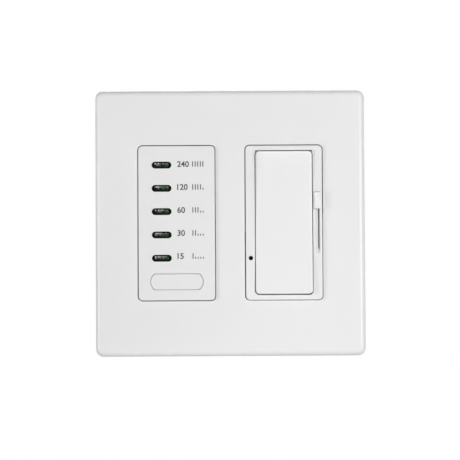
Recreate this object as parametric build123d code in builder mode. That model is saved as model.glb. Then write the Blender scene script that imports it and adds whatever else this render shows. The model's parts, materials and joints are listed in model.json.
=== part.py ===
from build123d import *
import os
from math import cos, radians, sin

# A two-gang wall control behind a screwless cover plate. The left gang is a countdown timer with
# five lit windows and one push button, the right gang a paddle dimmer with a slim slider.
# +X is right, +Z is up and the front faces -Y. The wall is the plane y = 0, and the origin is the
# middle of the plate on the wall. A height is a distance in front of the wall, so a point at
# height h has y = -h. A depth is a distance behind the wall, inside the wall box. Lengths are in
# millimetres, and places within a gang are measured from the gang's own middle.

# Layout of the wall box
strap_gap = 1.54  # between the two gangs' straps
box_screw_clearance = 7.67  # from a housing's end to the box screws' row
plate_screw_inset = 4.33  # from an ear's end to the plate screws' row
ear_margin = 4.4  # from the plate's end to an ear's end
overrun = 1.0  # how far a cut runs past the face that it opens

# Cover plate
plate_width = 115.9
plate_height = 114.3
plate_front = 6.4
plate_wall = 1.8
plate_corner_radius = 3.3
plate_edge_radius = 2.4
opening_width = 33.27
opening_height = 66.8
opening_corner_radius = 2.0
opening_edge_radius = 0.3
hook_width = 8.0
hook_reach = 1.0
hook_height = 0.95
hook_lead = 0.45
hook_gap = 0.1
hook_inner_place = 14.0
hook_outer_place = 42.0
notch_width = 8.0
notch_height = 1.2

# Mounting subplate, which the cover plate snaps on
subplate_gap = 0.35
subplate_thickness = 2.0
subplate_corner_radius = 1.2
subplate_front_gap = 0.1
rim_wall = 1.5
collar_gap = 0.86
collar_wall = 1.25
rib_wall = 1.2
rib_inset = 11.4  # from an opening's end to the outer ribs

# Screws that hold the subplate on the straps
plate_screw_radius = 1.6
plate_screw_hole_gap = 0.3
plate_screw_thread_gap = 0.1
plate_screw_head_radius = 2.6
plate_screw_head_height = 1.1
plate_screw_length = 7.5

# Steel mounting straps
strap_thickness = 1.3
strap_width = 44.5
strap_body_height = 72.0
strap_corner_radius = 2.0
ear_width = 29.0
break_notch_inset = 6.5
break_notch_width = 1.2
break_notch_depth = 5.0
box_slot_length = 6.4
box_slot_width = 3.9

# Screws into the wall box
box_screw_radius = 1.75
box_screw_neck_radius = 1.45
box_screw_length = 20.0  # behind the strap
box_screw_head_radius = 3.3
box_screw_head_height = 1.7
box_screw_head_gap = 0.3
screw_head_edge_radius = 0.5

# Earth screws on the back of the straps
earth_screw_x = -10.2
earth_screw_drop = 0.33  # below the box screws' row
earth_screw_radius = 1.65
earth_screw_gap = 0.1
earth_screw_tip_gap = 0.1
earth_screw_head_radius = 3.2
earth_screw_head_height = 2.2
earth_wire_gap = 0.4

# What the two front mouldings share
face_gap = 0.24
face_front = 7.5
face_edge_radius = 0.35
stake_side_inset = 1.395
stake_end_inset = 13.16
stake_radius = 1.1
stake_gap = 0.15
stake_head_radius = 1.8
stake_head_height = 0.9

# Housings in the wall box
timer_housing_depth = 28.0
dimmer_housing_depth = 30.0
housing_width = 41.0
housing_height = 68.0
housing_wall = 1.8
housing_corner_radius = 2.5
housing_edge_radius = 1.2
column_inset = 4.3
column_radius = 3.8
housing_screw_radius = 1.25
housing_screw_gap = 0.1
housing_screw_tip_gap = 0.05
housing_screw_head_radius = 2.4
housing_screw_head_height = 1.6
housing_screw_seat = 12.0  # depth of the counterbore's floor
counterbore_gap = 0.2

# Terminals on the housings' sides
terminal_inset = 22.0  # from a housing's end to the outer terminals
pocket_front = 10.0
pocket_back = 19.0
pocket_width = 9.2
pocket_inset = 3.7
pocket_wall = 1.2
pocket_floor = 1.0
terminal_plate_thickness = 0.9
terminal_plate_gap = 0.4
terminal_wire_gap = 0.7
terminal_screw_radius = 1.8
terminal_screw_gap = 0.1
terminal_hole_gap = 0.2
terminal_head_radius = 3.5
terminal_head_height = 1.8
terminal_tip_gap = 0.1
wire_hole_radius = 1.1
wire_hole_inset = 2.0

# Circuit boards in the housings
board_thickness = 1.6
rear_board_depth = 7.8
rear_board_side_inset = 5.2
rear_board_end_inset = 8.7
rest_wall = 1.5
rest_inset = 7.3
rest_reach = 8.2

# Timer front moulding
face_wall = 1.6
face_thickness = 1.8
window_width = 8.5
window_height = 2.95
window_count = 5
window_x = -6.42
window_top_inset = 8.23  # from the face's end to the first window's middle
window_low_inset = 18.09
button_width = 22.35
button_height = 6.72
button_gap = 0.2
button_inset = 7.94  # from the face's end to the button's middle
button_sagitta = 1.7
button_corner_radius = 1.0
post_radius = 1.1
post_pin_radius = 0.6
post_pin_gap = 0.1
post_pin_head_radius = 1.0
post_pin_head_height = 0.5
post_right_x = 9.6
post_top_inset = 3.5
post_button_gap = 6.12

# Timer front board in the strap's window
front_board_width = 25.0
front_board_height = 58.0
front_board_front = 1.9
strap_window_gap_x = 0.4
strap_window_gap_z = 2.0

# Timer windows
lens_gap = 0.2
lens_front = 7.0
lens_strip_width = 10.9
lens_strip_margin = 0.9
lens_strip_thickness = 1.0
baffle_pocket_height = 6.0
baffle_pocket_margin = 0.2
led_width = 3.0
led_height = 2.0
led_thickness = 1.3

# Timer button and key switch
button_front = 7.8
button_edge_radius = 0.3
button_flange_width = 24.4
button_flange_height = 9.2
button_flange_thickness = 0.8
button_flange_gap = 0.1
button_stem_radius = 1.5
button_stem_gap = 0.05
key_base_size = 6.0
key_base_height = 2.0
key_base_edge_radius = 0.4
key_plunger_radius = 1.7
key_plunger_gap = 0.1
key_plunger_front = 4.6
key_plunger_length = 1.3
key_well_depth = 1.2

# Timer power board parts
header_width = 12.7
header_height = 2.5
header_inset = 4.3
relay_width = 15.5
relay_height = 19.0
relay_depth = 15.0
relay_x = 5.5
relay_inset = 3.3
transformer_width = 9.0
transformer_height = 18.0
transformer_depth = 15.0
transformer_x = -8.0
transformer_inset = 4.3
transformer_core_width = 5.0
transformer_core_margin = 1.0
capacitor_radius = 5.0
capacitor_length = 14.0
capacitor_edge_radius = 0.8
capacitor_x = 7.0
capacitor_inset = 9.3
part_edge_radius = 0.5

# Dimmer frame
frame_floor = 0.8
pocket_gap = 0.3
pocket_end_gap = 0.35
ear_inner = 7.3
ear_outer = 8.8
ear_radius = 1.4
floor_opening_width = 7.0
floor_opening_height = 9.0
bevel_start = 6.5
bevel_width = 1.2
bevel_depth = 1.3
bevel_reach = 3.0
slider_x = 14.4
slider_slot_width = 2.1
slider_slot_height = 26.2
slider_slot_radius = 0.5
slider_slot_depth = 0.9
slit_gap = 0.06
slit_end_gap = 0.3
indicator_x = -14.3
indicator_z = -15.2
indicator_hole_radius = 0.97

# Paddle and its pivot
paddle_width = 24.4
paddle_end_margin = 2.36
paddle_corner_radius = 1.6
paddle_edge_radius = 0.5
paddle_thickness = 1.8
paddle_skirt_wall = 1.2
paddle_depth = 3.7
paddle_rib_place = 12.0
paddle_rib_wall = 1.0
paddle_rib_depth = 2.9
paddle_tilt = 3.0  # degrees, top pressed in
pivot_height = 4.1
pivot_pin_radius = 0.8
pivot_gap = 0.05
lug_inner = 5.0
lug_outer = 7.0
lug_radius = 1.5
stem_size = 5.0
stem_reach = 10.6  # behind the pivot
stem_bore_radius = 1.6
stem_bore_end = 2.0
spring_outer_radius = 1.35
spring_inner_radius = 0.9
spring_end_gap = 0.05
spring_plunger_radius = 1.45
spring_plunger_top = 8.0
spring_plunger_gap = 0.15

# Snap switch behind the paddle
switch_width = 11.0
switch_height = 19.0
switch_front = 8.2
switch_back = 17.5
switch_wall = 0.8
switch_floor = 1.0
switch_board_gap = 0.4
switch_flange_reach = 1.5
switch_flange_thickness = 1.0
seesaw_depth = 11.5
seesaw_tilt = 10.0  # degrees, lower end pressed in
seesaw_width = 4.0
seesaw_height = 13.0
seesaw_thickness = 0.8
seesaw_knuckle_radius = 1.0
seesaw_axle_radius = 0.7
seesaw_axle_gap = 0.2
cradle_gap = 0.05
cradle_width = 1.6
cradle_height = 2.0
contact_place = 5.2
contact_radius = 1.0
contact_height = 0.5
contact_gap = 0.05
fixed_contact_radius = 1.3

# Slider, its knob and its potentiometer
knob_width = 2.9
knob_height = 7.4
knob_top = 8.5
knob_gap = 0.1
knob_slope_width = 0.95
knob_slope_height = 0.5
knob_corner_radius = 0.3
dimple_radius = 0.8
dimple_depth = 0.2
dimple_offset = 2.2
knob_stem_width = 1.8
knob_stem_height = 6.6
knob_stem_gap = 0.15
slider_end_gap = 0.3
wiper_offset = 0.5  # right of the slot's middle
wiper_width = 0.3
wiper_height = 3.1
wiper_front = 7.8  # height of the lever's tip
wiper_back = 5.0
wiper_gap = 0.05
wiper_end_gap = 0.15
wiper_slot_width = 0.8
wiper_slot_end = 6.0
wiper_slot_margin = 0.45
potentiometer_width = 7.0
potentiometer_height = 36.0
potentiometer_front = 1.2
strap_slider_width = 1.7
strap_slider_margin = 0.5

# Indicator
light_pipe_radius = 0.9
light_pipe_front = 7.35
light_pipe_back = 5.5
light_pipe_strap_gap = 0.3
indicator_led_width = 1.0
indicator_led_height = 1.6
indicator_led_thickness = 1.9

# Dimmer power parts
triac_width = 10.0
triac_height = 15.0
triac_thickness = 4.5
triac_tab_thickness = 1.3
triac_tab_height = 6.0
triac_x = -7.5
triac_inset = 6.3
triac_lead_width = 0.8
triac_lead_gap = 1.74
triac_lead_count = 3
triac_lead_height = 3.2
triac_screw_radius = 1.5
triac_screw_gap = 0.1
triac_screw_tip_gap = 0.05
triac_screw_head_radius = 2.5
triac_screw_head_height = 1.7
triac_screw_margin = 3.0
choke_outer_radius = 7.2
choke_inner_radius = 3.0
choke_height = 9.0
choke_wrap = 0.8
choke_gap = 0.05
choke_wound_angle = 290
choke_overhang = 0.8
film_width = 18.0
film_height = 8.0
film_depth = 14.0
film_inset = 3.3

# Places worked out from the sizes above
gang_spacing = strap_width + strap_gap
box_screw_spacing = housing_height + 2 * box_screw_clearance
ear_span = plate_height - 2 * ear_margin
plate_screw_spacing = ear_span - 2 * plate_screw_inset
break_notch_spacing = ear_width - 2 * break_notch_inset
earth_screw_z = -box_screw_spacing / 2 - earth_screw_drop
timer_x = -gang_spacing / 2
dimmer_x = gang_spacing / 2
face_width = opening_width - 2 * face_gap
face_height = opening_height - 2 * face_gap
face_corner_radius = opening_corner_radius - face_gap
rib_pitch = opening_height / 2 - rib_inset
stake_spacing_x = face_width - 2 * stake_side_inset
stake_spacing_z = face_height - 2 * stake_end_inset
column_spacing_x = housing_width - 2 * column_inset
column_spacing_z = housing_height - 2 * column_inset
terminal_spacing = housing_height - 2 * terminal_inset
wire_hole_spacing = pocket_width - 2 * wire_hole_inset
rear_board_width = housing_width - 2 * rear_board_side_inset
rear_board_height = housing_height - 2 * rear_board_end_inset
rest_spacing = rear_board_width - 2 * rest_inset
cover_inner_width = plate_width - 2 * plate_wall
cover_inner_height = plate_height - 2 * plate_wall
cover_inner_front = plate_front - plate_wall
subplate_front = cover_inner_front - subplate_front_gap
subplate_face = strap_thickness + subplate_thickness
window_pitch = (face_height - window_top_inset - window_low_inset) / (window_count - 1)
window_z = (window_low_inset - window_top_inset) / 2
window_row = [(window_x, window_z + step * window_pitch) for step in range(2, 2 - window_count, -1)]
window_row_height = (window_count - 1) * window_pitch + window_height
lens_strip_height = window_row_height + 2 * lens_strip_margin
face_inner_front = face_front - face_thickness
button_z = button_inset - face_height / 2
post_top_z = front_board_height / 2 - post_top_inset
post_low_z = button_z + post_button_gap
posts = [(post_right_x, post_top_z), (post_right_x, post_low_z), (-post_right_x, post_low_z)]
rear_board_back = rear_board_depth + board_thickness
header_z = rear_board_height / 2 - header_inset
relay_z = relay_inset + (relay_height - rear_board_height) / 2
transformer_z = transformer_inset + (transformer_height - rear_board_height) / 2
capacitor_z = rear_board_height / 2 - capacitor_inset - capacitor_radius
triac_z = rear_board_height / 2 - triac_inset
triac_lead_pitch = triac_lead_width + triac_lead_gap
choke_z = choke_outer_radius - choke_overhang - rear_board_height / 2
film_z = (rear_board_height - film_height) / 2 - film_inset
paddle_height = face_height - 2 * paddle_end_margin
pocket_half_width = paddle_width / 2 + pocket_gap
pocket_half_height = paddle_height / 2 + pocket_end_gap
slider_rest_z = slider_slot_height / 2 - slider_end_gap - knob_stem_height / 2
slot_floor = face_front - slider_slot_depth
slit_height = 2 * slider_rest_z + wiper_height + 2 * slit_end_gap
lever_x = dimmer_x + slider_x + wiper_offset
terminal_floor_x = housing_width / 2 - pocket_inset
terminal_head_x = terminal_floor_x + terminal_plate_thickness + terminal_wire_gap
terminal_middle_depth = (pocket_front + pocket_back) / 2
timer_terminals = [(-1, terminal_spacing / 2), (-1, -terminal_spacing / 2), (1, 0)]
dimmer_terminals = [(1, terminal_spacing / 2), (1, -terminal_spacing / 2), (-1, 0)]

os.makedirs("parts", exist_ok=True)


def facing(height, x=0, z=0):
    """A plane parallel to the wall at this height, which faces the viewer."""
    return Plane(origin=(x, -height, z), x_dir=(1, 0, 0), z_dir=(0, -1, 0))


def behind(depth, x=0, z=0):
    """A plane parallel to the wall at this depth, which faces the viewer."""
    return Plane(origin=(x, depth, z), x_dir=(1, 0, 0), z_dir=(0, -1, 0))


def across(x):
    """A plane square to +X: its first axis is +Y and its second axis is +Z."""
    return Plane.YZ.offset(x)


def turned(depth, x, angle):
    """A plane that faces the viewer from this depth, turned by the angle about +X."""
    normal = (0, -cos(radians(angle)), -sin(radians(angle)))
    return Plane(origin=(x, depth, 0), x_dir=(1, 0, 0), z_dir=normal)


def front_edges(piece):
    """The edges of the piece's foremost face."""
    return piece.faces().sort_by(Axis.Y)[0].edges()


# Cover plate: a shallow shell with two device openings and snap hooks inside its long walls
with BuildPart() as cover_plate:
    with BuildSketch(facing(0)):
        RectangleRounded(plate_width, plate_height, plate_corner_radius)
    extrude(amount=plate_front)
    fillet(front_edges(cover_plate), plate_edge_radius)
    with BuildSketch(facing(0)):
        RectangleRounded(cover_inner_width, cover_inner_height, plate_corner_radius - plate_wall)
    extrude(amount=cover_inner_front, mode=Mode.SUBTRACT)
    with BuildSketch(facing(0)):
        with Locations((timer_x, 0), (dimmer_x, 0)):
            RectangleRounded(opening_width, opening_height, opening_corner_radius)
    extrude(amount=plate_front + overrun, mode=Mode.SUBTRACT)
    plate_face = cover_plate.faces().sort_by(Axis.Y)[0]
    fillet(plate_face.inner_wires().edges(), opening_edge_radius)
    hook_front = strap_thickness - hook_gap
    for hook_x in (-hook_outer_place, -hook_inner_place, hook_inner_place, hook_outer_place):
        with BuildSketch(across(hook_x)):
            with BuildLine():
                Polyline(
                    (-hook_front, cover_inner_height / 2),
                    (hook_height - hook_front, cover_inner_height / 2),
                    (hook_height - hook_front - hook_lead, cover_inner_height / 2 - hook_reach),
                    (-hook_front, cover_inner_height / 2 - hook_reach),
                    close=True,
                )
            make_face()
            mirror(about=Plane.XZ)
        extrude(amount=hook_width / 2, both=True)
    with BuildSketch(facing(0, z=-plate_height / 2)):
        Rectangle(notch_width, 2 * plate_wall + overrun)
    extrude(amount=notch_height, mode=Mode.SUBTRACT)
cover_plate.part.label = "cover_plate"
export_step(cover_plate.part, "parts/cover_plate.step")

# Mounting subplate: rim, ribs and a collar round each device, screwed to the straps' ears
subplate_width = cover_inner_width - 2 * subplate_gap
subplate_height = cover_inner_height - 2 * subplate_gap
collar_width = face_width + 2 * collar_gap
collar_height = face_height + 2 * collar_gap
with BuildPart() as mounting_subplate:
    with BuildSketch(facing(strap_thickness)):
        RectangleRounded(subplate_width, subplate_height, subplate_corner_radius)
    extrude(amount=subplate_thickness)
    with BuildSketch(facing(subplate_face)):
        RectangleRounded(subplate_width, subplate_height, subplate_corner_radius)
        Rectangle(subplate_width - 2 * rim_wall, subplate_height - 2 * rim_wall, mode=Mode.SUBTRACT)
        Rectangle(rib_wall, subplate_height - rim_wall)
        with GridLocations(gang_spacing, rib_pitch, 1, 3):
            Rectangle(subplate_width - rim_wall, rib_wall)
        with Locations((timer_x, 0), (dimmer_x, 0)):
            Rectangle(collar_width + 2 * collar_wall, collar_height + 2 * collar_wall)
    extrude(amount=subplate_front - subplate_face)
    with BuildSketch(facing(0)):
        with Locations((timer_x, 0), (dimmer_x, 0)):
            RectangleRounded(collar_width, collar_height, opening_corner_radius)
        with GridLocations(gang_spacing, box_screw_spacing, 2, 2):
            Circle(box_screw_head_radius + box_screw_head_gap)
        with GridLocations(gang_spacing, plate_screw_spacing, 2, 2):
            Circle(plate_screw_radius + plate_screw_hole_gap)
    extrude(amount=plate_front, mode=Mode.SUBTRACT)
mounting_subplate.part.label = "mounting_subplate"
export_step(mounting_subplate.part, "parts/mounting_subplate.step")

# Subplate screws: pan heads on the subplate, threads in the straps' ears
with BuildPart() as subplate_screws:
    with BuildSketch(facing(subplate_face - plate_screw_length)):
        with GridLocations(gang_spacing, plate_screw_spacing, 2, 2):
            Circle(plate_screw_radius)
    extrude(amount=plate_screw_length)
    with BuildSketch(facing(subplate_face)):
        with GridLocations(gang_spacing, plate_screw_spacing, 2, 2):
            Circle(plate_screw_head_radius)
    extrude(amount=plate_screw_head_height)
    head_faces = subplate_screws.faces().group_by(Axis.Y)[0]
    fillet(head_faces.edges(), screw_head_edge_radius)
subplate_screws.part.label = "subplate_screws"
export_step(subplate_screws.part, "parts/subplate_screws.step")


def strap_blank(device_x):
    """A steel strap with its ears, box screw slots and tapped, riveted and screwed holes."""
    with BuildPart() as strap:
        with BuildSketch(behind(0, device_x)):
            RectangleRounded(strap_width, strap_body_height, strap_corner_radius)
            RectangleRounded(ear_width, ear_span, strap_corner_radius)
            for end in (-1, 1):
                with Locations((0, end * ear_span / 2)):
                    with GridLocations(break_notch_spacing, break_notch_depth, 2, 1):
                        Rectangle(break_notch_width, 2 * break_notch_depth, mode=Mode.SUBTRACT)
            with GridLocations(gang_spacing, box_screw_spacing, 1, 2):
                SlotOverall(box_slot_length, box_slot_width, mode=Mode.SUBTRACT)
            with GridLocations(gang_spacing, plate_screw_spacing, 1, 2):
                Circle(plate_screw_radius + plate_screw_thread_gap, mode=Mode.SUBTRACT)
            with GridLocations(stake_spacing_x, stake_spacing_z, 2, 2):
                Circle(stake_radius + stake_gap, mode=Mode.SUBTRACT)
            with GridLocations(column_spacing_x, column_spacing_z, 2, 2):
                Circle(housing_screw_radius + housing_screw_gap, mode=Mode.SUBTRACT)
            with Locations((earth_screw_x, earth_screw_z)):
                Circle(earth_screw_radius + earth_screw_gap, mode=Mode.SUBTRACT)
        extrude(amount=strap_thickness)
    return strap.part


def box_screw_pair(device_x):
    """The two captive screws of one gang: head on the strap, thin neck in the slot, full thread behind."""
    with BuildPart() as screws:
        with BuildSketch(behind(box_screw_length, device_x)):
            with GridLocations(gang_spacing, box_screw_spacing, 1, 2):
                Circle(box_screw_radius)
        extrude(amount=box_screw_length)
        with BuildSketch(behind(0, device_x)):
            with GridLocations(gang_spacing, box_screw_spacing, 1, 2):
                Circle(box_screw_neck_radius)
        extrude(amount=strap_thickness)
        with BuildSketch(facing(strap_thickness, device_x)):
            with GridLocations(gang_spacing, box_screw_spacing, 1, 2):
                Circle(box_screw_head_radius)
        extrude(amount=box_screw_head_height)
        fillet(screws.faces().group_by(Axis.Y)[0].edges(), screw_head_edge_radius)
    return screws


def earth_screw(device_x):
    """The earth screw of one gang, with its head on the strap's back."""
    with BuildPart() as screw:
        with BuildSketch(behind(earth_wire_gap, device_x)):
            with Locations((earth_screw_x, earth_screw_z)):
                Circle(earth_screw_radius)
        extrude(amount=earth_wire_gap + strap_thickness - earth_screw_tip_gap)
        with BuildSketch(behind(earth_wire_gap + earth_screw_head_height, device_x)):
            with Locations((earth_screw_x, earth_screw_z)):
                Circle(earth_screw_head_radius)
        extrude(amount=earth_screw_head_height)
    return screw


def device_housing(device_x, depth, terminals):
    """A moulded back shell with screw columns, board rests and open pockets for the terminals."""
    half_width = housing_width / 2
    with BuildPart() as housing:
        with BuildSketch(behind(depth, device_x)):
            RectangleRounded(housing_width, housing_height, housing_corner_radius)
        extrude(amount=depth)
        with BuildSketch(behind(depth - housing_wall, device_x)):
            Rectangle(housing_width - 2 * housing_wall, housing_height - 2 * housing_wall)
        extrude(amount=depth, mode=Mode.SUBTRACT)
        with BuildSketch(behind(depth, device_x)):
            with GridLocations(column_spacing_x, column_spacing_z, 2, 2):
                Circle(column_radius)
        extrude(amount=depth)
        with BuildSketch(behind(depth - housing_wall / 2, device_x)):
            with GridLocations(rest_spacing, housing_height - 2 * housing_wall - rest_reach, 2, 2):
                Rectangle(rest_wall, rest_reach + housing_wall)
        extrude(amount=depth - housing_wall / 2 - rear_board_back)
        for side, z in terminals:
            block_inner = terminal_floor_x - pocket_floor
            block_outer = half_width - housing_wall / 2
            with BuildSketch(behind(depth - housing_wall / 2, device_x)):
                with Locations((side * (block_inner + block_outer) / 2, z)):
                    Rectangle(block_outer - block_inner, pocket_width + 2 * pocket_wall)
            extrude(amount=depth - housing_wall / 2 - pocket_front + pocket_wall)
        back = housing.faces().sort_by(Axis.Y)[-1]
        fillet(back.outer_wire().edges(), housing_edge_radius)
        with BuildSketch(behind(depth, device_x)):
            with GridLocations(column_spacing_x, column_spacing_z, 2, 2):
                Circle(housing_screw_head_radius + counterbore_gap)
        extrude(amount=depth - housing_screw_seat, mode=Mode.SUBTRACT)
        with BuildSketch(behind(depth, device_x)):
            with GridLocations(column_spacing_x, column_spacing_z, 2, 2):
                Circle(housing_screw_radius + housing_screw_gap)
        extrude(amount=depth, mode=Mode.SUBTRACT)
        for side, z in terminals:
            pocket_length = pocket_inset + overrun
            with BuildSketch(across(device_x + side * (terminal_floor_x + pocket_length / 2))):
                with Locations((terminal_middle_depth, z)):
                    Rectangle(pocket_back - pocket_front, pocket_width)
            extrude(amount=pocket_length / 2, both=True, mode=Mode.SUBTRACT)
            with BuildSketch(across(device_x + side * (terminal_floor_x - pocket_floor / 2))):
                with Locations((terminal_middle_depth, z)):
                    Circle(terminal_screw_radius + terminal_hole_gap)
            extrude(amount=pocket_floor, both=True, mode=Mode.SUBTRACT)
            wire_x = (terminal_floor_x + terminal_plate_thickness + terminal_head_x) / 2
            with BuildSketch(behind(depth + overrun, device_x)):
                with Locations((side * wire_x, z)):
                    with GridLocations(pocket_width, wire_hole_spacing, 1, 2):
                        Circle(wire_hole_radius)
            extrude(amount=depth + overrun - pocket_back, mode=Mode.SUBTRACT)
    return housing


def terminal_plate_set(device_x, terminals):
    """The brass plates on the pockets' floors, each with a clearance hole for its screw."""
    with BuildPart() as plates:
        for side, z in terminals:
            with BuildSketch(across(device_x + side * (terminal_floor_x + terminal_plate_thickness / 2))):
                with Locations((terminal_middle_depth, z)):
                    plate_length = pocket_back - pocket_front - 2 * terminal_plate_gap
                    Rectangle(plate_length, pocket_width - 2 * terminal_plate_gap)
                    Circle(terminal_screw_radius + terminal_screw_gap, mode=Mode.SUBTRACT)
            extrude(amount=terminal_plate_thickness / 2, both=True)
    return plates


def terminal_screw_set(device_x, terminals):
    """The terminal screws, backed off by a wire's gap."""
    with BuildPart() as screws:
        for side, z in terminals:
            tip_x = terminal_floor_x - pocket_floor + terminal_tip_gap
            with BuildSketch(across(device_x + side * (tip_x + terminal_head_x) / 2)):
                with Locations((terminal_middle_depth, z)):
                    Circle(terminal_screw_radius)
            extrude(amount=(terminal_head_x - tip_x) / 2, both=True)
            with BuildSketch(across(device_x + side * (terminal_head_x + terminal_head_height / 2))):
                with Locations((terminal_middle_depth, z)):
                    Circle(terminal_head_radius)
            extrude(amount=terminal_head_height / 2, both=True)
    return screws


def housing_screw_set(device_x):
    """The four screws that pull a housing against its strap from behind."""
    with BuildPart() as screws:
        with BuildSketch(behind(housing_screw_seat, device_x)):
            with GridLocations(column_spacing_x, column_spacing_z, 2, 2):
                Circle(housing_screw_radius)
        extrude(amount=housing_screw_seat + strap_thickness - housing_screw_tip_gap)
        with BuildSketch(behind(housing_screw_seat + housing_screw_head_height, device_x)):
            with GridLocations(column_spacing_x, column_spacing_z, 2, 2):
                Circle(housing_screw_head_radius)
        extrude(amount=housing_screw_head_height)
    return screws


def button_outline(width, height, corner_radius):
    """A flat strip whose short ends bulge in one long arc each, with its corners blended."""
    straight = width / 2 - button_sagitta
    with BuildSketch() as outline:
        with BuildLine():
            Line((-straight, height / 2), (straight, height / 2))
            ThreePointArc((straight, height / 2), (width / 2, 0), (straight, -height / 2))
            Line((straight, -height / 2), (-straight, -height / 2))
            ThreePointArc((-straight, -height / 2), (-width / 2, 0), (-straight, height / 2))
        make_face()
        fillet(outline.vertices(), corner_radius)
    return outline.sketch


def block(front_depth, x, z, width, height, depth, edge_radius):
    """A box shaped component that stands behind a board, with its rear edges rounded."""
    with BuildPart() as body:
        with BuildSketch(behind(front_depth + depth, x, z)):
            Rectangle(width, height)
        extrude(amount=depth)
        fillet(body.faces().sort_by(Axis.Y)[-1].edges(), edge_radius)
    return body


def staked_pins():
    """Sketch places of the pins that are melted over behind a strap."""
    return GridLocations(stake_spacing_x, stake_spacing_z, 2, 2)


# Timer front: a deep lid with five windows, the button's hole, board posts and melted pins
with BuildPart() as timer_face:
    with BuildSketch(facing(strap_thickness, timer_x)):
        RectangleRounded(face_width, face_height, face_corner_radius)
    extrude(amount=face_front - strap_thickness)
    fillet(front_edges(timer_face), face_edge_radius)
    with BuildSketch(facing(strap_thickness, timer_x)):
        Rectangle(face_width - 2 * face_wall, face_height - 2 * face_wall)
    extrude(amount=face_inner_front - strap_thickness, mode=Mode.SUBTRACT)
    with BuildSketch(facing(face_inner_front - overrun, timer_x)):
        with Locations(window_row):
            SlotOverall(window_width, window_height)
        with Locations((0, button_z)):
            add(button_outline(
                button_width + 2 * button_gap,
                button_height + 2 * button_gap,
                button_corner_radius + button_gap,
            ))
    extrude(amount=face_thickness + 2 * overrun, mode=Mode.SUBTRACT)
    with BuildSketch(facing(front_board_front, timer_x)):
        with Locations(posts):
            Circle(post_radius)
    extrude(amount=face_inner_front - front_board_front)
    with BuildSketch(facing(front_board_front - board_thickness, timer_x)):
        with Locations(posts):
            Circle(post_pin_radius)
    extrude(amount=board_thickness)
    with BuildSketch(facing(front_board_front - board_thickness - post_pin_head_height, timer_x)):
        with Locations(posts):
            Circle(post_pin_head_radius)
    extrude(amount=post_pin_head_height)
    with BuildSketch(behind(0, timer_x)):
        with staked_pins():
            Circle(stake_radius)
    extrude(amount=strap_thickness)
    with BuildSketch(behind(stake_head_height, timer_x)):
        with staked_pins():
            Circle(stake_head_radius)
    extrude(amount=stake_head_height)
timer_face.part.label = "timer_face"
export_step(timer_face.part, "parts/timer_face.step")

# Timer lenses: one strip behind the face, with a pill standing up into each window
with BuildPart() as timer_window_lens:
    with BuildSketch(facing(face_inner_front - lens_strip_thickness, timer_x)):
        with Locations((window_x, window_z)):
            Rectangle(lens_strip_width, lens_strip_height)
    extrude(amount=lens_strip_thickness)
    with BuildSketch(facing(face_inner_front, timer_x)):
        with Locations(window_row):
            SlotOverall(window_width - 2 * lens_gap, window_height - 2 * lens_gap)
    extrude(amount=lens_front - face_inner_front)
timer_window_lens.part.label = "timer_window_lens"
export_step(timer_window_lens.part, "parts/timer_window_lens.step")

# Light baffle: keeps each lamp's light to its own window
baffle_front = face_inner_front - lens_strip_thickness
with BuildPart() as timer_light_baffle:
    with BuildSketch(facing(front_board_front, timer_x)):
        with Locations((window_x, window_z)):
            Rectangle(lens_strip_width, lens_strip_height)
        with Locations(window_row):
            pocket_across = window_width + 2 * baffle_pocket_margin
            Rectangle(pocket_across, baffle_pocket_height, mode=Mode.SUBTRACT)
    extrude(amount=baffle_front - front_board_front)
timer_light_baffle.part.label = "timer_light_baffle"
export_step(timer_light_baffle.part, "parts/timer_light_baffle.step")

# Timer lamps: one on the board in each pocket of the baffle
with BuildPart() as timer_leds:
    with BuildSketch(facing(front_board_front, timer_x)):
        with Locations(window_row):
            Rectangle(led_width, led_height)
    extrude(amount=led_thickness)
timer_leds.part.label = "timer_leds"
export_step(timer_leds.part, "parts/timer_leds.step")

# Timer button: the cap in the face's hole, the flange that keeps it in and the stem on the key
button_flange_front = face_inner_front - button_flange_gap
button_flange_back = button_flange_front - button_flange_thickness
button_stem_back = key_plunger_front + button_stem_gap
with BuildPart() as timer_button:
    with BuildSketch(facing(button_flange_front, timer_x, button_z)):
        add(button_outline(button_width, button_height, button_corner_radius))
    extrude(amount=button_front - button_flange_front)
    fillet(front_edges(timer_button), button_edge_radius)
    with BuildSketch(facing(button_flange_back, timer_x, button_z)):
        RectangleRounded(button_flange_width, button_flange_height, button_corner_radius)
    extrude(amount=button_flange_thickness)
    with BuildSketch(facing(button_stem_back, timer_x, button_z)):
        Circle(button_stem_radius)
    extrude(amount=button_flange_back - button_stem_back)
timer_button.part.label = "timer_button"
export_step(timer_button.part, "parts/timer_button.step")

# Timer front board, which lies in the strap's window on the face's posts
with BuildPart() as timer_front_board:
    with BuildSketch(facing(front_board_front - board_thickness, timer_x)):
        Rectangle(front_board_width, front_board_height)
        with Locations(posts):
            Circle(post_pin_radius + post_pin_gap, mode=Mode.SUBTRACT)
    extrude(amount=board_thickness)
timer_front_board.part.label = "timer_front_board"
export_step(timer_front_board.part, "parts/timer_front_board.step")

# Key switch under the button: a square base with a round well
key_base_front = front_board_front + key_base_height
with BuildPart() as timer_key_switch:
    with BuildSketch(facing(front_board_front, timer_x, button_z)):
        RectangleRounded(key_base_size, key_base_size, key_base_edge_radius)
    extrude(amount=key_base_height)
    with BuildSketch(facing(key_base_front - key_well_depth, timer_x, button_z)):
        Circle(key_plunger_radius + key_plunger_gap)
    extrude(amount=key_well_depth + overrun, mode=Mode.SUBTRACT)
timer_key_switch.part.label = "timer_key_switch"
export_step(timer_key_switch.part, "parts/timer_key_switch.step")

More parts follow.
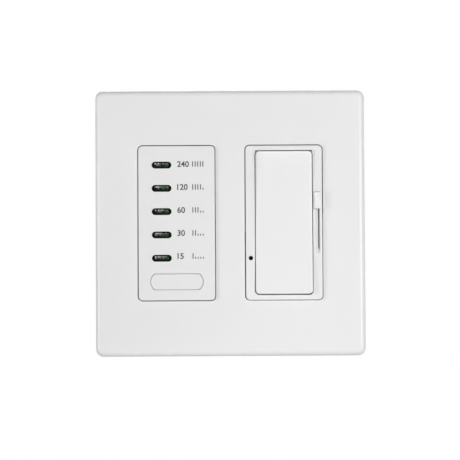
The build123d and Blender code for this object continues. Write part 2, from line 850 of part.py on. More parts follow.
# Key plunger: the moving pin of the key switch
with BuildPart() as timer_key_plunger:
    with BuildSketch(facing(key_plunger_front - key_plunger_length, timer_x, button_z)):
        Circle(key_plunger_radius)
    extrude(amount=key_plunger_length)
timer_key_plunger.part.label = "timer_key_plunger"
export_step(timer_key_plunger.part, "parts/timer_key_plunger.step")

# Timer strap, with the window that the front board lies in
timer_blank = strap_blank(timer_x)
with BuildPart() as timer_strap:
    add(timer_blank)
    with BuildSketch(behind(overrun, timer_x)):
        window_across = front_board_width + 2 * strap_window_gap_x
        RectangleRounded(window_across, front_board_height + 2 * strap_window_gap_z, strap_corner_radius)
    extrude(amount=strap_thickness + 2 * overrun, mode=Mode.SUBTRACT)
timer_strap.part.label = "timer_strap"
export_step(timer_strap.part, "parts/timer_strap.step")

# Timer housing and its terminals and screws
timer_housing = device_housing(timer_x, timer_housing_depth, timer_terminals)
timer_housing.part.label = "timer_housing"
export_step(timer_housing.part, "parts/timer_housing.step")
timer_terminal_plates = terminal_plate_set(timer_x, timer_terminals)
timer_terminal_plates.part.label = "timer_terminal_plates"
export_step(timer_terminal_plates.part, "parts/timer_terminal_plates.step")
timer_terminal_screws = terminal_screw_set(timer_x, timer_terminals)
timer_terminal_screws.part.label = "timer_terminal_screws"
export_step(timer_terminal_screws.part, "parts/timer_terminal_screws.step")
timer_housing_screws = housing_screw_set(timer_x)
timer_housing_screws.part.label = "timer_housing_screws"
export_step(timer_housing_screws.part, "parts/timer_housing_screws.step")
timer_box_screws = box_screw_pair(timer_x)
timer_box_screws.part.label = "timer_box_screws"
export_step(timer_box_screws.part, "parts/timer_box_screws.step")
timer_earth_screw = earth_screw(timer_x)
timer_earth_screw.part.label = "timer_earth_screw"
export_step(timer_earth_screw.part, "parts/timer_earth_screw.step")

# Timer power board on the housing's rests
with BuildPart() as timer_power_board:
    with BuildSketch(behind(rear_board_back, timer_x)):
        Rectangle(rear_board_width, rear_board_height)
    extrude(amount=board_thickness)
timer_power_board.part.label = "timer_power_board"
export_step(timer_power_board.part, "parts/timer_power_board.step")

# Pin header that joins the timer's two boards
with BuildPart() as timer_board_header:
    with BuildSketch(behind(rear_board_depth, timer_x, header_z)):
        Rectangle(header_width, header_height)
    extrude(amount=rear_board_depth + front_board_front - board_thickness)
timer_board_header.part.label = "timer_board_header"
export_step(timer_board_header.part, "parts/timer_board_header.step")

# Relay that switches the load
timer_relay = block(
    rear_board_back, timer_x + relay_x, relay_z, relay_width, relay_height, relay_depth, part_edge_radius
)
timer_relay.part.label = "timer_relay"
export_step(timer_relay.part, "parts/timer_relay.step")

# Transformer: an iron core through a taller winding
with BuildPart() as timer_transformer:
    with BuildSketch(behind(rear_board_back + transformer_depth, timer_x + transformer_x, transformer_z)):
        Rectangle(transformer_width, transformer_height - 2 * transformer_core_margin)
    extrude(amount=transformer_depth)
    with BuildSketch(behind(rear_board_back + transformer_depth - transformer_core_margin,
                            timer_x + transformer_x, transformer_z)):
        Rectangle(transformer_core_width, transformer_height)
    extrude(amount=transformer_depth - 2 * transformer_core_margin)
timer_transformer.part.label = "timer_transformer"
export_step(timer_transformer.part, "parts/timer_transformer.step")

# Smoothing capacitor
with BuildPart() as timer_capacitor:
    with BuildSketch(behind(rear_board_back + capacitor_length, timer_x + capacitor_x, capacitor_z)):
        Circle(capacitor_radius)
    extrude(amount=capacitor_length)
    fillet(timer_capacitor.faces().sort_by(Axis.Y)[-1].edges(), capacitor_edge_radius)
timer_capacitor.part.label = "timer_capacitor"
export_step(timer_capacitor.part, "parts/timer_capacitor.step")

# Dimmer frame: a tray with a deep pocket for the paddle, pivot ears and the slider's shallow
# slot, whose floor has a thin slit for the lever
floor_front = strap_thickness + frame_floor
with BuildPart() as dimmer_frame:
    with BuildSketch(facing(strap_thickness, dimmer_x)):
        RectangleRounded(face_width, face_height, face_corner_radius)
    extrude(amount=face_front - strap_thickness)
    fillet(front_edges(dimmer_frame), face_edge_radius)
    with BuildSketch(facing(floor_front, dimmer_x)):
        pocket_corner = paddle_corner_radius + pocket_gap
        RectangleRounded(2 * pocket_half_width, 2 * pocket_half_height, pocket_corner)
    extrude(amount=face_front, mode=Mode.SUBTRACT)
    for side in (-1, 1):
        pocket_edge = dimmer_x + side * pocket_half_width
        bevel_slope = bevel_depth / bevel_width
        with BuildSketch(Plane.XY.offset(bevel_start)):
            with BuildLine():
                Polyline(
                    (pocket_edge + side * overrun / bevel_slope, -face_front - overrun),
                    (pocket_edge - side * bevel_reach, -face_front - overrun),
                    (pocket_edge - side * bevel_reach, bevel_reach * bevel_slope - face_front),
                    close=True,
                )
            make_face()
        bevel_rise = pocket_half_height - bevel_start
        bevel_length = (bevel_rise**2 + bevel_width**2) ** 0.5
        extrude(amount=bevel_length, dir=(side * bevel_width, 0, bevel_rise), mode=Mode.SUBTRACT)
    with BuildSketch(facing(slot_floor, dimmer_x + slider_x)):
        RectangleRounded(slider_slot_width, slider_slot_height, slider_slot_radius)
    extrude(amount=slider_slot_depth + overrun, mode=Mode.SUBTRACT)
    with BuildSketch(facing(0, dimmer_x)):
        Rectangle(floor_opening_width, floor_opening_height)
        with Locations((slider_x + wiper_offset, 0)):
            Rectangle(wiper_width + 2 * slit_gap, slit_height)
        with Locations((indicator_x, indicator_z)):
            Circle(indicator_hole_radius)
    extrude(amount=face_front + overrun, mode=Mode.SUBTRACT)
    for side in (-1, 1):
        with BuildSketch(across(dimmer_x + side * (ear_inner + ear_outer) / 2)):
            with Locations((-pivot_height, 0)):
                Circle(ear_radius)
            with Locations((-(pivot_height + floor_front) / 2, 0)):
                Rectangle(pivot_height - floor_front, 2 * ear_radius)
            with Locations((-pivot_height, 0)):
                Circle(pivot_pin_radius + pivot_gap, mode=Mode.SUBTRACT)
        extrude(amount=(ear_outer - ear_inner) / 2, both=True)
    with BuildSketch(behind(0, dimmer_x)):
        with staked_pins():
            Circle(stake_radius)
    extrude(amount=strap_thickness)
    with BuildSketch(behind(stake_head_height, dimmer_x)):
        with staked_pins():
            Circle(stake_head_radius)
    extrude(amount=stake_head_height)
dimmer_frame.part.label = "dimmer_frame"
export_step(dimmer_frame.part, "parts/dimmer_frame.step")

# Paddle: a hollow rocker, modelled as it rests, with its top pressed in about the pivot
rocker = turned(-pivot_height, dimmer_x, -paddle_tilt)
paddle_front = face_front - pivot_height
cap_back = paddle_front - paddle_thickness
skirt_back = paddle_front - paddle_depth
with BuildPart() as dimmer_paddle:
    with BuildSketch(rocker.offset(skirt_back)):
        RectangleRounded(paddle_width, paddle_height, paddle_corner_radius)
    extrude(amount=paddle_depth)
    fillet(dimmer_paddle.faces().sort_by(Axis(rocker.origin, rocker.z_dir))[-1].edges(), paddle_edge_radius)
    with BuildSketch(rocker.offset(skirt_back)):
        Rectangle(paddle_width - 2 * paddle_skirt_wall, paddle_height - 2 * paddle_skirt_wall)
        with GridLocations(paddle_width, 2 * paddle_rib_place, 1, 2):
            Rectangle(paddle_width, paddle_rib_wall, mode=Mode.SUBTRACT)
    extrude(amount=paddle_depth - paddle_thickness, mode=Mode.SUBTRACT)
    with BuildSketch(rocker.offset(skirt_back)):
        Rectangle(paddle_width - 2 * paddle_skirt_wall, paddle_height - 2 * paddle_skirt_wall)
    extrude(amount=paddle_depth - paddle_rib_depth, mode=Mode.SUBTRACT)
    for side in (-1, 1):
        lug_middle = dimmer_x + side * (lug_inner + lug_outer) / 2
        lug_plane = Plane(origin=(lug_middle, -pivot_height, 0), x_dir=rocker.z_dir, z_dir=(1, 0, 0))
        with BuildSketch(lug_plane):
            Circle(lug_radius)
            with Locations((cap_back / 2, 0)):
                Rectangle(cap_back, 2 * lug_radius)
        extrude(amount=(lug_outer - lug_inner) / 2, both=True)
    with BuildSketch(rocker.offset(-stem_reach)):
        Rectangle(stem_size, stem_size)
    extrude(amount=stem_reach + cap_back)
    with BuildSketch(rocker.offset(-stem_reach)):
        Circle(stem_bore_radius)
    extrude(amount=stem_reach - stem_bore_end, mode=Mode.SUBTRACT)
    with BuildSketch(across(dimmer_x)):
        with Locations((-pivot_height, 0)):
            Circle(pivot_pin_radius + pivot_gap)
    extrude(amount=lug_outer + overrun, both=True, mode=Mode.SUBTRACT)
dimmer_paddle.part.label = "dimmer_paddle"
export_step(dimmer_paddle.part, "parts/dimmer_paddle.step")

# Pivot pin through the frame's ears and the paddle's lugs
with BuildPart() as paddle_pivot_pin:
    with BuildSketch(across(dimmer_x)):
        with Locations((-pivot_height, 0)):
            Circle(pivot_pin_radius)
    extrude(amount=ear_outer, both=True)
paddle_pivot_pin.part.label = "paddle_pivot_pin"
export_step(paddle_pivot_pin.part, "parts/paddle_pivot_pin.step")

# Coil spring in the paddle's stem, as the sleeve that its turns fill
spring_top = stem_bore_end + spring_end_gap
spring_bottom = spring_plunger_top - spring_end_gap
with BuildPart() as paddle_spring:
    with BuildSketch(rocker.offset(-spring_bottom)):
        Circle(spring_outer_radius)
        Circle(spring_inner_radius, mode=Mode.SUBTRACT)
    extrude(amount=spring_bottom - spring_top)
paddle_spring.part.label = "paddle_spring"
export_step(paddle_spring.part, "parts/paddle_spring.step")

# Spring plunger: slides in the stem, and its round tip rides on the see-saw's knuckle
tip_reach = pivot_height + seesaw_depth - seesaw_knuckle_radius - spring_plunger_gap
ball_reach = tip_reach - spring_plunger_radius
plunger_section = Plane(
    origin=rocker.origin, x_dir=rocker.x_dir, z_dir=rocker.x_dir.cross(rocker.z_dir)
)
with BuildPart() as paddle_spring_plunger:
    with BuildSketch(plunger_section):
        with BuildLine():
            Line((0, -tip_reach), (0, -spring_plunger_top))
            Line((0, -spring_plunger_top), (spring_plunger_radius, -spring_plunger_top))
            Line((spring_plunger_radius, -spring_plunger_top), (spring_plunger_radius, -ball_reach))
            CenterArc((0, -ball_reach), spring_plunger_radius, 0, -90)
        make_face()
    revolve(axis=Axis(rocker.origin, rocker.z_dir))
paddle_spring_plunger.part.label = "paddle_spring_plunger"
export_step(paddle_spring_plunger.part, "parts/paddle_spring_plunger.step")

# Switch base: an open box through the dimmer's board, with a cradle for the see-saw's axle
cradle_front = seesaw_depth + seesaw_axle_radius + cradle_gap
switch_inner = switch_width / 2 - switch_wall
with BuildPart() as switch_base:
    with BuildSketch(behind(switch_back, dimmer_x)):
        Rectangle(switch_width, switch_height)
    extrude(amount=switch_back - switch_front)
    with BuildSketch(behind(rear_board_back + switch_flange_thickness, dimmer_x)):
        flange_width = switch_width + 2 * switch_flange_reach
        Rectangle(flange_width, switch_height + 2 * switch_flange_reach)
    extrude(amount=switch_flange_thickness)
    with BuildSketch(behind(switch_back - switch_floor, dimmer_x)):
        Rectangle(2 * switch_inner, switch_height - 2 * switch_wall)
    extrude(amount=switch_back, mode=Mode.SUBTRACT)
    with BuildSketch(behind(switch_back - switch_floor, dimmer_x)):
        with GridLocations(2 * switch_inner - cradle_width, cradle_height, 2, 1):
            Rectangle(cradle_width, cradle_height)
    extrude(amount=switch_back - switch_floor - cradle_front)
switch_base.part.label = "switch_base"
export_step(switch_base.part, "parts/switch_base.step")

# See-saw contact, modelled as it rests, with its lower end pressed in
seesaw = turned(seesaw_depth, dimmer_x, seesaw_tilt)
with BuildPart() as switch_seesaw_contact:
    with BuildSketch(seesaw.offset(-seesaw_thickness / 2)):
        Rectangle(seesaw_width, seesaw_height)
    extrude(amount=seesaw_thickness)
    with BuildSketch(across(dimmer_x)):
        with Locations((seesaw_depth, 0)):
            Circle(seesaw_knuckle_radius)
    extrude(amount=seesaw_width / 2, both=True)
    with BuildSketch(across(dimmer_x)):
        with Locations((seesaw_depth, 0)):
            Circle(seesaw_axle_radius)
    extrude(amount=switch_inner - seesaw_axle_gap, both=True)
    with BuildSketch(seesaw.offset(-seesaw_thickness / 2 - contact_height)):
        with GridLocations(seesaw_width, 2 * contact_place, 1, 2):
            Circle(contact_radius)
    extrude(amount=contact_height)
switch_seesaw_contact.part.label = "switch_seesaw_contact"
export_step(switch_seesaw_contact.part, "parts/switch_seesaw_contact.step")

# Fixed contacts on the switch base's floor, which the see-saw's two ends meet in turn
seesaw_swing = (contact_place + contact_radius) * sin(radians(seesaw_tilt))
seesaw_back = (seesaw_thickness / 2 + contact_height) * cos(radians(seesaw_tilt))
fixed_contact_front = seesaw_depth + seesaw_swing + seesaw_back + contact_gap
with BuildPart() as switch_fixed_contacts:
    with BuildSketch(behind(switch_back - switch_floor, dimmer_x)):
        with GridLocations(seesaw_width, 2 * contact_place, 1, 2):
            Circle(fixed_contact_radius)
    extrude(amount=switch_back - switch_floor - fixed_contact_front)
switch_fixed_contacts.part.label = "switch_fixed_contacts"
export_step(switch_fixed_contacts.part, "parts/switch_fixed_contacts.step")

# Slider knob: a small cap that overhangs the slot, with a sloped edge, a dimple and a stem that
# rides in the slot and takes the lever's tip
knob_x = dimmer_x + slider_x - slider_slot_width / 2 + knob_width / 2 - knob_corner_radius - knob_gap
knob_back = face_front + knob_gap
knob_stem_back = slot_floor + knob_stem_gap
knob_left = knob_x - knob_width / 2
knob_right = knob_x + knob_width / 2
dimple_sphere = (dimple_radius**2 + dimple_depth**2) / (2 * dimple_depth)
with BuildPart() as slider_knob:
    with BuildSketch(Plane.XY.offset(slider_rest_z)):
        with BuildLine():
            Polyline(
                (knob_left, -knob_back),
                (knob_right, -knob_back),
                (knob_right, -knob_top),
                (knob_left + knob_slope_width, -knob_top),
                (knob_left, knob_slope_height - knob_top),
                close=True,
            )
        make_face()
    extrude(amount=knob_height / 2, both=True)
    fillet(slider_knob.edges().filter_by(Axis.Y), knob_corner_radius)
    with BuildSketch(facing(knob_stem_back, dimmer_x + slider_x, slider_rest_z)):
        Rectangle(knob_stem_width, knob_stem_height)
    extrude(amount=knob_back - knob_stem_back)
    with BuildSketch(facing(knob_stem_back, lever_x, slider_rest_z)):
        Rectangle(wiper_width + 2 * wiper_gap, wiper_height + 2 * wiper_gap)
    extrude(amount=wiper_front + wiper_end_gap - knob_stem_back, mode=Mode.SUBTRACT)
    with Locations((knob_x, dimple_depth - dimple_sphere - knob_top, slider_rest_z + dimple_offset)):
        Sphere(dimple_sphere, mode=Mode.SUBTRACT)
slider_knob.part.label = "slider_knob"
export_step(slider_knob.part, "parts/slider_knob.step")

# Wiper lever of the potentiometer, through the slit into the knob's stem
with BuildPart() as slider_wiper:
    with BuildSketch(behind(wiper_back, lever_x, slider_rest_z)):
        Rectangle(wiper_width, wiper_height)
    extrude(amount=wiper_back + wiper_front)
slider_wiper.part.label = "slider_wiper"
export_step(slider_wiper.part, "parts/slider_wiper.step")

# Slide potentiometer: a long can on the board, slotted for the lever's whole travel
with BuildPart() as slide_potentiometer:
    with BuildSketch(behind(rear_board_depth, lever_x)):
        Rectangle(potentiometer_width, potentiometer_height)
    extrude(amount=rear_board_depth - potentiometer_front)
    with BuildSketch(behind(wiper_slot_end, lever_x)):
        wiper_slot_height = 2 * slider_rest_z + wiper_height + 2 * wiper_slot_margin
        Rectangle(wiper_slot_width, wiper_slot_height)
    extrude(amount=wiper_slot_end, mode=Mode.SUBTRACT)
slide_potentiometer.part.label = "slide_potentiometer"
export_step(slide_potentiometer.part, "parts/slide_potentiometer.step")

# Light pipe from the board's lamp to the frame's front
with BuildPart() as indicator_light_pipe:
    with BuildSketch(behind(light_pipe_back, dimmer_x + indicator_x, indicator_z)):
        Circle(light_pipe_radius)
    extrude(amount=light_pipe_back + light_pipe_front)
indicator_light_pipe.part.label = "indicator_light_pipe"
export_step(indicator_light_pipe.part, "parts/indicator_light_pipe.step")

# Indicator lamp under the light pipe
with BuildPart() as indicator_led:
    with BuildSketch(behind(rear_board_depth, dimmer_x + indicator_x, indicator_z)):
        Rectangle(indicator_led_width, indicator_led_height)
    extrude(amount=indicator_led_thickness)
indicator_led.part.label = "indicator_led"
export_step(indicator_led.part, "parts/indicator_led.step")

# Dimmer board on the housing's rests, cut out round the switch base
with BuildPart() as dimmer_circuit_board:
    with BuildSketch(behind(rear_board_back, dimmer_x)):
        Rectangle(rear_board_width, rear_board_height)
        cutout_width = switch_width + 2 * switch_board_gap
        Rectangle(cutout_width, switch_height + 2 * switch_board_gap, mode=Mode.SUBTRACT)
    extrude(amount=board_thickness)
dimmer_circuit_board.part.label = "dimmer_circuit_board"
export_step(dimmer_circuit_board.part, "parts/dimmer_circuit_board.step")

# Dimmer strap, cut for the paddle's stem, the lever, the light pipe and the triac's screw
triac_screw_z = triac_z + triac_height / 2 - triac_screw_margin
dimmer_blank = strap_blank(dimmer_x)
with BuildPart() as dimmer_strap:
    add(dimmer_blank)
    with BuildSketch(behind(overrun, dimmer_x)):
        Rectangle(floor_opening_width, floor_opening_height)
        with Locations((slider_x + wiper_offset, 0)):
            Rectangle(strap_slider_width, slit_height + 2 * strap_slider_margin)
        with Locations((indicator_x, indicator_z)):
            Circle(light_pipe_radius + light_pipe_strap_gap)
        with Locations((triac_x, triac_screw_z)):
            Circle(triac_screw_radius + triac_screw_gap)
    extrude(amount=strap_thickness + 2 * overrun, mode=Mode.SUBTRACT)
dimmer_strap.part.label = "dimmer_strap"
export_step(dimmer_strap.part, "parts/dimmer_strap.step")

# Dimmer housing and its terminals and screws
dimmer_housing = device_housing(dimmer_x, dimmer_housing_depth, dimmer_terminals)
dimmer_housing.part.label = "dimmer_housing"
export_step(dimmer_housing.part, "parts/dimmer_housing.step")
dimmer_terminal_plates = terminal_plate_set(dimmer_x, dimmer_terminals)
dimmer_terminal_plates.part.label = "dimmer_terminal_plates"
export_step(dimmer_terminal_plates.part, "parts/dimmer_terminal_plates.step")
dimmer_terminal_screws = terminal_screw_set(dimmer_x, dimmer_terminals)
dimmer_terminal_screws.part.label = "dimmer_terminal_screws"
export_step(dimmer_terminal_screws.part, "parts/dimmer_terminal_screws.step")
dimmer_housing_screws = housing_screw_set(dimmer_x)
dimmer_housing_screws.part.label = "dimmer_housing_screws"
export_step(dimmer_housing_screws.part, "parts/dimmer_housing_screws.step")
dimmer_box_screws = box_screw_pair(dimmer_x)
dimmer_box_screws.part.label = "dimmer_box_screws"
export_step(dimmer_box_screws.part, "parts/dimmer_box_screws.step")
dimmer_earth_screw = earth_screw(dimmer_x)
dimmer_earth_screw.part.label = "dimmer_earth_screw"
export_step(dimmer_earth_screw.part, "parts/dimmer_earth_screw.step")

# Triac on the strap's back, which cools it, with its three leads bent to the board
triac_low = triac_z - triac_height / 2
triac_body_height = triac_height - triac_tab_height
with BuildPart() as dimmer_triac:
    with BuildSketch(behind(triac_tab_thickness, dimmer_x + triac_x, triac_z)):
        Rectangle(triac_width, triac_height)
    extrude(amount=triac_tab_thickness)
    with BuildSketch(behind(triac_thickness, dimmer_x + triac_x, triac_low + triac_body_height / 2)):
        Rectangle(triac_width, triac_body_height)
    extrude(amount=triac_thickness)
    with BuildSketch(behind(rear_board_depth, dimmer_x + triac_x, triac_low - triac_lead_width / 2)):
        with GridLocations(triac_lead_pitch, triac_lead_pitch, triac_lead_count, 1):
            Rectangle(triac_lead_width, triac_lead_width)
    extrude(amount=rear_board_depth - triac_lead_height + triac_lead_width)
    with BuildSketch(behind(triac_thickness, dimmer_x + triac_x, triac_screw_z)):
        Circle(triac_screw_radius + triac_screw_gap)
    extrude(amount=triac_thickness, mode=Mode.SUBTRACT)
dimmer_triac.part.label = "dimmer_triac"
export_step(dimmer_triac.part, "parts/dimmer_triac.step")

# Triac screw, from behind into the strap
triac_screw_back = triac_tab_thickness + triac_screw_head_height
with BuildPart() as triac_screw:
    with BuildSketch(behind(triac_tab_thickness, dimmer_x + triac_x, triac_screw_z)):
        Circle(triac_screw_radius)
    extrude(amount=triac_tab_thickness + strap_thickness - triac_screw_tip_gap)
    with BuildSketch(behind(triac_screw_back, dimmer_x + triac_x, triac_screw_z)):
        Circle(triac_screw_head_radius)
    extrude(amount=triac_screw_head_height)
triac_screw.part.label = "triac_screw"
export_step(triac_screw.part, "parts/triac_screw.step")

# Choke core: a ferrite ring that lies behind the board
choke_section = Plane(origin=(dimmer_x, rear_board_back, choke_z), x_dir=(1, 0, 0), z_dir=(0, 0, 1))
choke_axis = Axis((dimmer_x, rear_board_back, choke_z), (0, 1, 0))
core_width = choke_outer_radius - choke_inner_radius - 2 * choke_wrap
core_middle = (choke_outer_radius + choke_inner_radius) / 2
with BuildPart() as dimmer_choke_core:
    with BuildSketch(choke_section):
        with Locations((core_middle, choke_height / 2)):
            Rectangle(core_width, choke_height - 2 * choke_wrap)
    revolve(axis=choke_axis)
dimmer_choke_core.part.label = "dimmer_choke_core"
export_step(dimmer_choke_core.part, "parts/dimmer_choke_core.step")

# Choke winding: the jacket of wire round most of the core
with BuildPart() as dimmer_choke_winding:
    with BuildSketch(choke_section):
        with Locations((core_middle, choke_height / 2)):
            Rectangle(choke_outer_radius - choke_inner_radius, choke_height)
            Rectangle(
                core_width + 2 * choke_gap,
                choke_height - 2 * choke_wrap + 2 * choke_gap,
                mode=Mode.SUBTRACT,
            )
    revolve(axis=choke_axis, revolution_arc=choke_wound_angle)
dimmer_choke_winding.part.label = "dimmer_choke_winding"
export_step(dimmer_choke_winding.part, "parts/dimmer_choke_winding.step")

# Film capacitor behind the dimmer's board
dimmer_capacitor = block(
    rear_board_back, dimmer_x, film_z, film_width, film_height, film_depth, part_edge_radius
)
dimmer_capacitor.part.label = "dimmer_capacitor"
export_step(dimmer_capacitor.part, "parts/dimmer_capacitor.step")
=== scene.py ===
# %% [markdown]
# # A timer and a dimmer in one wall plate
# This lesson dresses a finished solid model of a wall control. The left half is a countdown timer
# with five lit windows and a push button, the right half a paddle dimmer with a slim slider.
# The solids already have the right sizes and places, so the work here is finish: moulded plastic,
# smoked lenses, printed numbers, screw threads, light and camera. Everything is in metres, +X is
# right, +Z is up, and the front of the control faces -Y.

# %% Load the solid model
import json
import math

import bmesh
import bpy
from mathutils import Matrix, Vector


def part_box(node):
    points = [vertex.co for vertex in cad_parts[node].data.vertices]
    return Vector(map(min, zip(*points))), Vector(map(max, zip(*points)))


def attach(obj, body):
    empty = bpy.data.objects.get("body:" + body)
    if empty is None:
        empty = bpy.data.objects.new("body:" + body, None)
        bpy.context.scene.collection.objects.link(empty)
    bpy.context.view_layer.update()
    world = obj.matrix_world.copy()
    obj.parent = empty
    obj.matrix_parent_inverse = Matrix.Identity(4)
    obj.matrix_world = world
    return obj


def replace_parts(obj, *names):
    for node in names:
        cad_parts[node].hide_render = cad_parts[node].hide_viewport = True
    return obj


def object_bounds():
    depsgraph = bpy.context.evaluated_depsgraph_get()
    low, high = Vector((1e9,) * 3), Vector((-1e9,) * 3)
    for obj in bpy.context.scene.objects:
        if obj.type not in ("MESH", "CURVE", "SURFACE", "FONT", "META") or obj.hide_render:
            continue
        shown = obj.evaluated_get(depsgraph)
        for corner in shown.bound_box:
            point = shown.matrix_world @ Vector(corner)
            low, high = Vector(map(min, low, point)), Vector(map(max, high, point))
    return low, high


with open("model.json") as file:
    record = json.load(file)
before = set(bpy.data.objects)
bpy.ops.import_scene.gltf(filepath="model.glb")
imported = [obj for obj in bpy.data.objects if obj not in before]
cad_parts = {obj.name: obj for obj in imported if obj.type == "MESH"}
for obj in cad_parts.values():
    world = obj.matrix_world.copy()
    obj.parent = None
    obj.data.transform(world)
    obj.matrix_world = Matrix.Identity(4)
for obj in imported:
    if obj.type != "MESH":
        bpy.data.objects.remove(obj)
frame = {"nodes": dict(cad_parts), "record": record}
solid_low, solid_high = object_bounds()
mm = 0.001

# %% [markdown]
# ## Arithmetic on a surface
# A material is a small program: noise patterns are added, scaled and mixed, and the result steers
# colour, gloss or relief. Wiring each Math node by hand hides the idea, so one class wraps a
# socket and lets ordinary Python arithmetic add the nodes.


# %% A socket that can be added and multiplied
class Signal:
    """A value that varies over a surface, with arithmetic that adds Math nodes."""

    def __init__(self, maker, socket):
        self.maker = maker
        self.socket = socket

    def _math(self, operation, first, second):
        return self.maker.node("ShaderNodeMath", {"operation": operation}, {0: first, 1: second})

    def __add__(self, other):
        return self._math("ADD", self, other)

    def __sub__(self, other):
        return self._math("SUBTRACT", self, other)

    def __rsub__(self, other):
        return self._math("SUBTRACT", other, self)

    def __mul__(self, other):
        return self._math("MULTIPLY", self, other)

    def __truediv__(self, other):
        return self._math("DIVIDE", self, other)

    def above(self, level):
        return self._math("GREATER_THAN", self, level)

    def within(self, low, high):
        """Runs from 0 at the low value to 1 at the high one, and stays there."""
        values = {0: self, 1: low, 2: high}
        return self.maker.node("ShaderNodeMapRange", {"clamp": True}, values)


print("arithmetic ready:", Signal.__doc__)

# %% [markdown]
# ## One method that makes any node
# Every other node comes from one method. It takes the node's type, its settings and the values or
# links of its sockets. Settings are made first, because they decide which sockets a node has.
# Materials and Geometry Nodes trees are wired alike, so both kinds of maker share the method.


# %% The shared node maker
class Maker:
    """Makes nodes in one tree and links them."""

    def __init__(self, tree):
        self.tree = tree

    def node(self, kind, settings=None, inputs=None, output=0):
        made = self.tree.nodes.new(kind)
        for key, value in (settings or {}).items():
            setattr(made, key, value)
        for key, value in (inputs or {}).items():
            for part in value if isinstance(value, list) else [value]:
                if isinstance(part, Signal):
                    self.tree.links.new(part.socket, made.inputs[key])
                else:
                    made.inputs[key].default_value = part
        return Signal(self, made.outputs[output]) if len(made.outputs) else made


print("node maker ready:", Maker.__doc__)


# %% A material under construction
class Finish(Maker):
    """A material whose patterns lie on the piece's own coordinates, in metres."""

    def __init__(self, name):
        self.material = bpy.data.materials.new(name)
        self.material.use_nodes = True
        super().__init__(self.material.node_tree)
        self.tree.nodes.clear()
        self.place = self.node("ShaderNodeTexCoord", output="Object")

    def noise(self, grain, detail=2.0, roughness=0.5, stretch=(1, 1, 1)):
        """Noise from 0 to 1 whose lumps are about one grain wide, in metres."""
        place = self.node(
            "ShaderNodeVectorMath", {"operation": "MULTIPLY"}, {0: self.place, 1: stretch}
        )
        values = {"Vector": place, "Scale": 1 / grain, "Detail": detail, "Roughness": roughness}
        return self.node("ShaderNodeTexNoise", {}, values)

    def across(self, axis):
        """How far a point lies along X, Y or Z, in metres."""
        return self.node("ShaderNodeSeparateXYZ", {}, {0: self.place}, output="XYZ".index(axis))

    def cells(self, size):
        """A random number for each crystal like cell of this size."""
        values = {"Vector": self.place, "Scale": 1 / size}
        colour = self.node("ShaderNodeTexVoronoi", {}, values, output="Color")
        return self.node("ShaderNodeSeparateColor", {}, {0: colour})

    def between(self, amount, low, high):
        """A colour between two, by an amount from 0 to 1."""
        values = {0: amount, 6: (*low, 1.0), 7: (*high, 1.0)}
        return self.node("ShaderNodeMix", {"data_type": "RGBA"}, values, output=2)

    def relief(self, height, distance):
        """Bumps of this depth, in metres, from a height that runs from 0 to 1."""
        return self.node("ShaderNodeBump", {}, {"Height": height, "Distance": distance})

    def painted_shade(self, start, fade, stop=0.0, inside=None, outside=()):
        """Painted shade from 0 to 1, which grows from a start height towards the wall, down to a
        stop.

        Inside is a box of low x, high x, low z and high z, in metres, and outside a list of them.
        """
        amount = self.across("Y").within(-start, fade - start)
        if stop:
            amount = amount * (1.0 - self.across("Y").above(-stop))
        if inside:
            amount = amount * self.boxed(inside)
        for box in outside:
            amount = amount * (1.0 - self.boxed(box))
        return amount

    def boxed(self, box):
        """One where a point is in a box of x and z, and nought elsewhere."""
        x, z = self.across("X"), self.across("Z")
        low_x, high_x, low_z, high_z = box
        across_x = x.above(low_x) * (1.0 - x.above(high_x))
        return across_x * z.above(low_z) * (1.0 - z.above(high_z))

    def close(self, **sockets):
        """Ends the material in a Principled shader with these sockets."""
        named = {key.replace("_", " "): value for key, value in sockets.items()}
        shader = self.node("ShaderNodeBsdfPrincipled", {}, named)
        self.node("ShaderNodeOutputMaterial", {}, {"Surface": shader})
        return self.material


def shade(colour, factor):
    """The same colour, lighter or darker."""
    return tuple(min(channel * factor, 1.0) for channel in colour)


print("material maker ready:", Finish.__doc__)

# %% [markdown]
# ## Moulded plastic
# The plate, the timer face, the frame, the paddle and the button are white thermoplastic from
# polished or finely etched moulds. Such a surface is never quite even: the colour drifts a little
# with the flow of the melt, the gloss changes in soft patches, and a fine grain breaks up the
# reflections. One recipe with three scales of noise gives all of them, so that they look like a
# family, and each gets its own tone, gloss and grain.
#
# The seams get painted shade: the colour darkens from some height above the wall inwards, where
# shade falls in the gaps, and boxes in x and z say where it lies and where none does: round both
# faces, at the top and left of the paddle, in the slider's slot and at the knob's edges, where it
# paints dark shadow lines. Thin boxes over the lips of the plate's openings paint those edges
# darkest, as shadow lines.


# %% The recipe of the plastics
# How far the painted shade in the seams darkens a colour, as a factor.
painted_shade_factor = 0.16


def moulded(
    name, colour, gloss=0.36, grain=0.22 * mm, depth=0.004 * mm, drift=0.012, coat=0.0, seams=()
):
    """Moulded plastic: a drifting tone, patchy gloss, an etched grain and painted shade in the
    seams.
    """
    finish = Finish(name)
    flow = finish.noise(28 * mm, detail=3.0)
    patches = finish.noise(5 * mm)
    etched = finish.noise(grain, roughness=0.6)
    tone = finish.between(
        flow * 0.7 + patches * 0.3, shade(colour, 1 - drift), shade(colour, 1 + drift)
    )
    # Each seam mixes the tone towards a dark copy of the colour, which paints the shade that falls
    # deep in the gaps.
    for seam in seams:
        values = {0: finish.painted_shade(**seam), 6: tone, 7: (*shade(colour, painted_shade_factor), 1.0)}
        tone = finish.node("ShaderNodeMix", {"data_type": "RGBA"}, values, output=2)
    return finish.close(
        Base_Color=tone,
        Roughness=patches * 0.10 + (gloss - 0.05),
        Coat_Weight=coat,
        Coat_Roughness=0.12,
        Normal=finish.relief(etched, depth),
    )


print("plastic recipe ready:", moulded.__doc__)
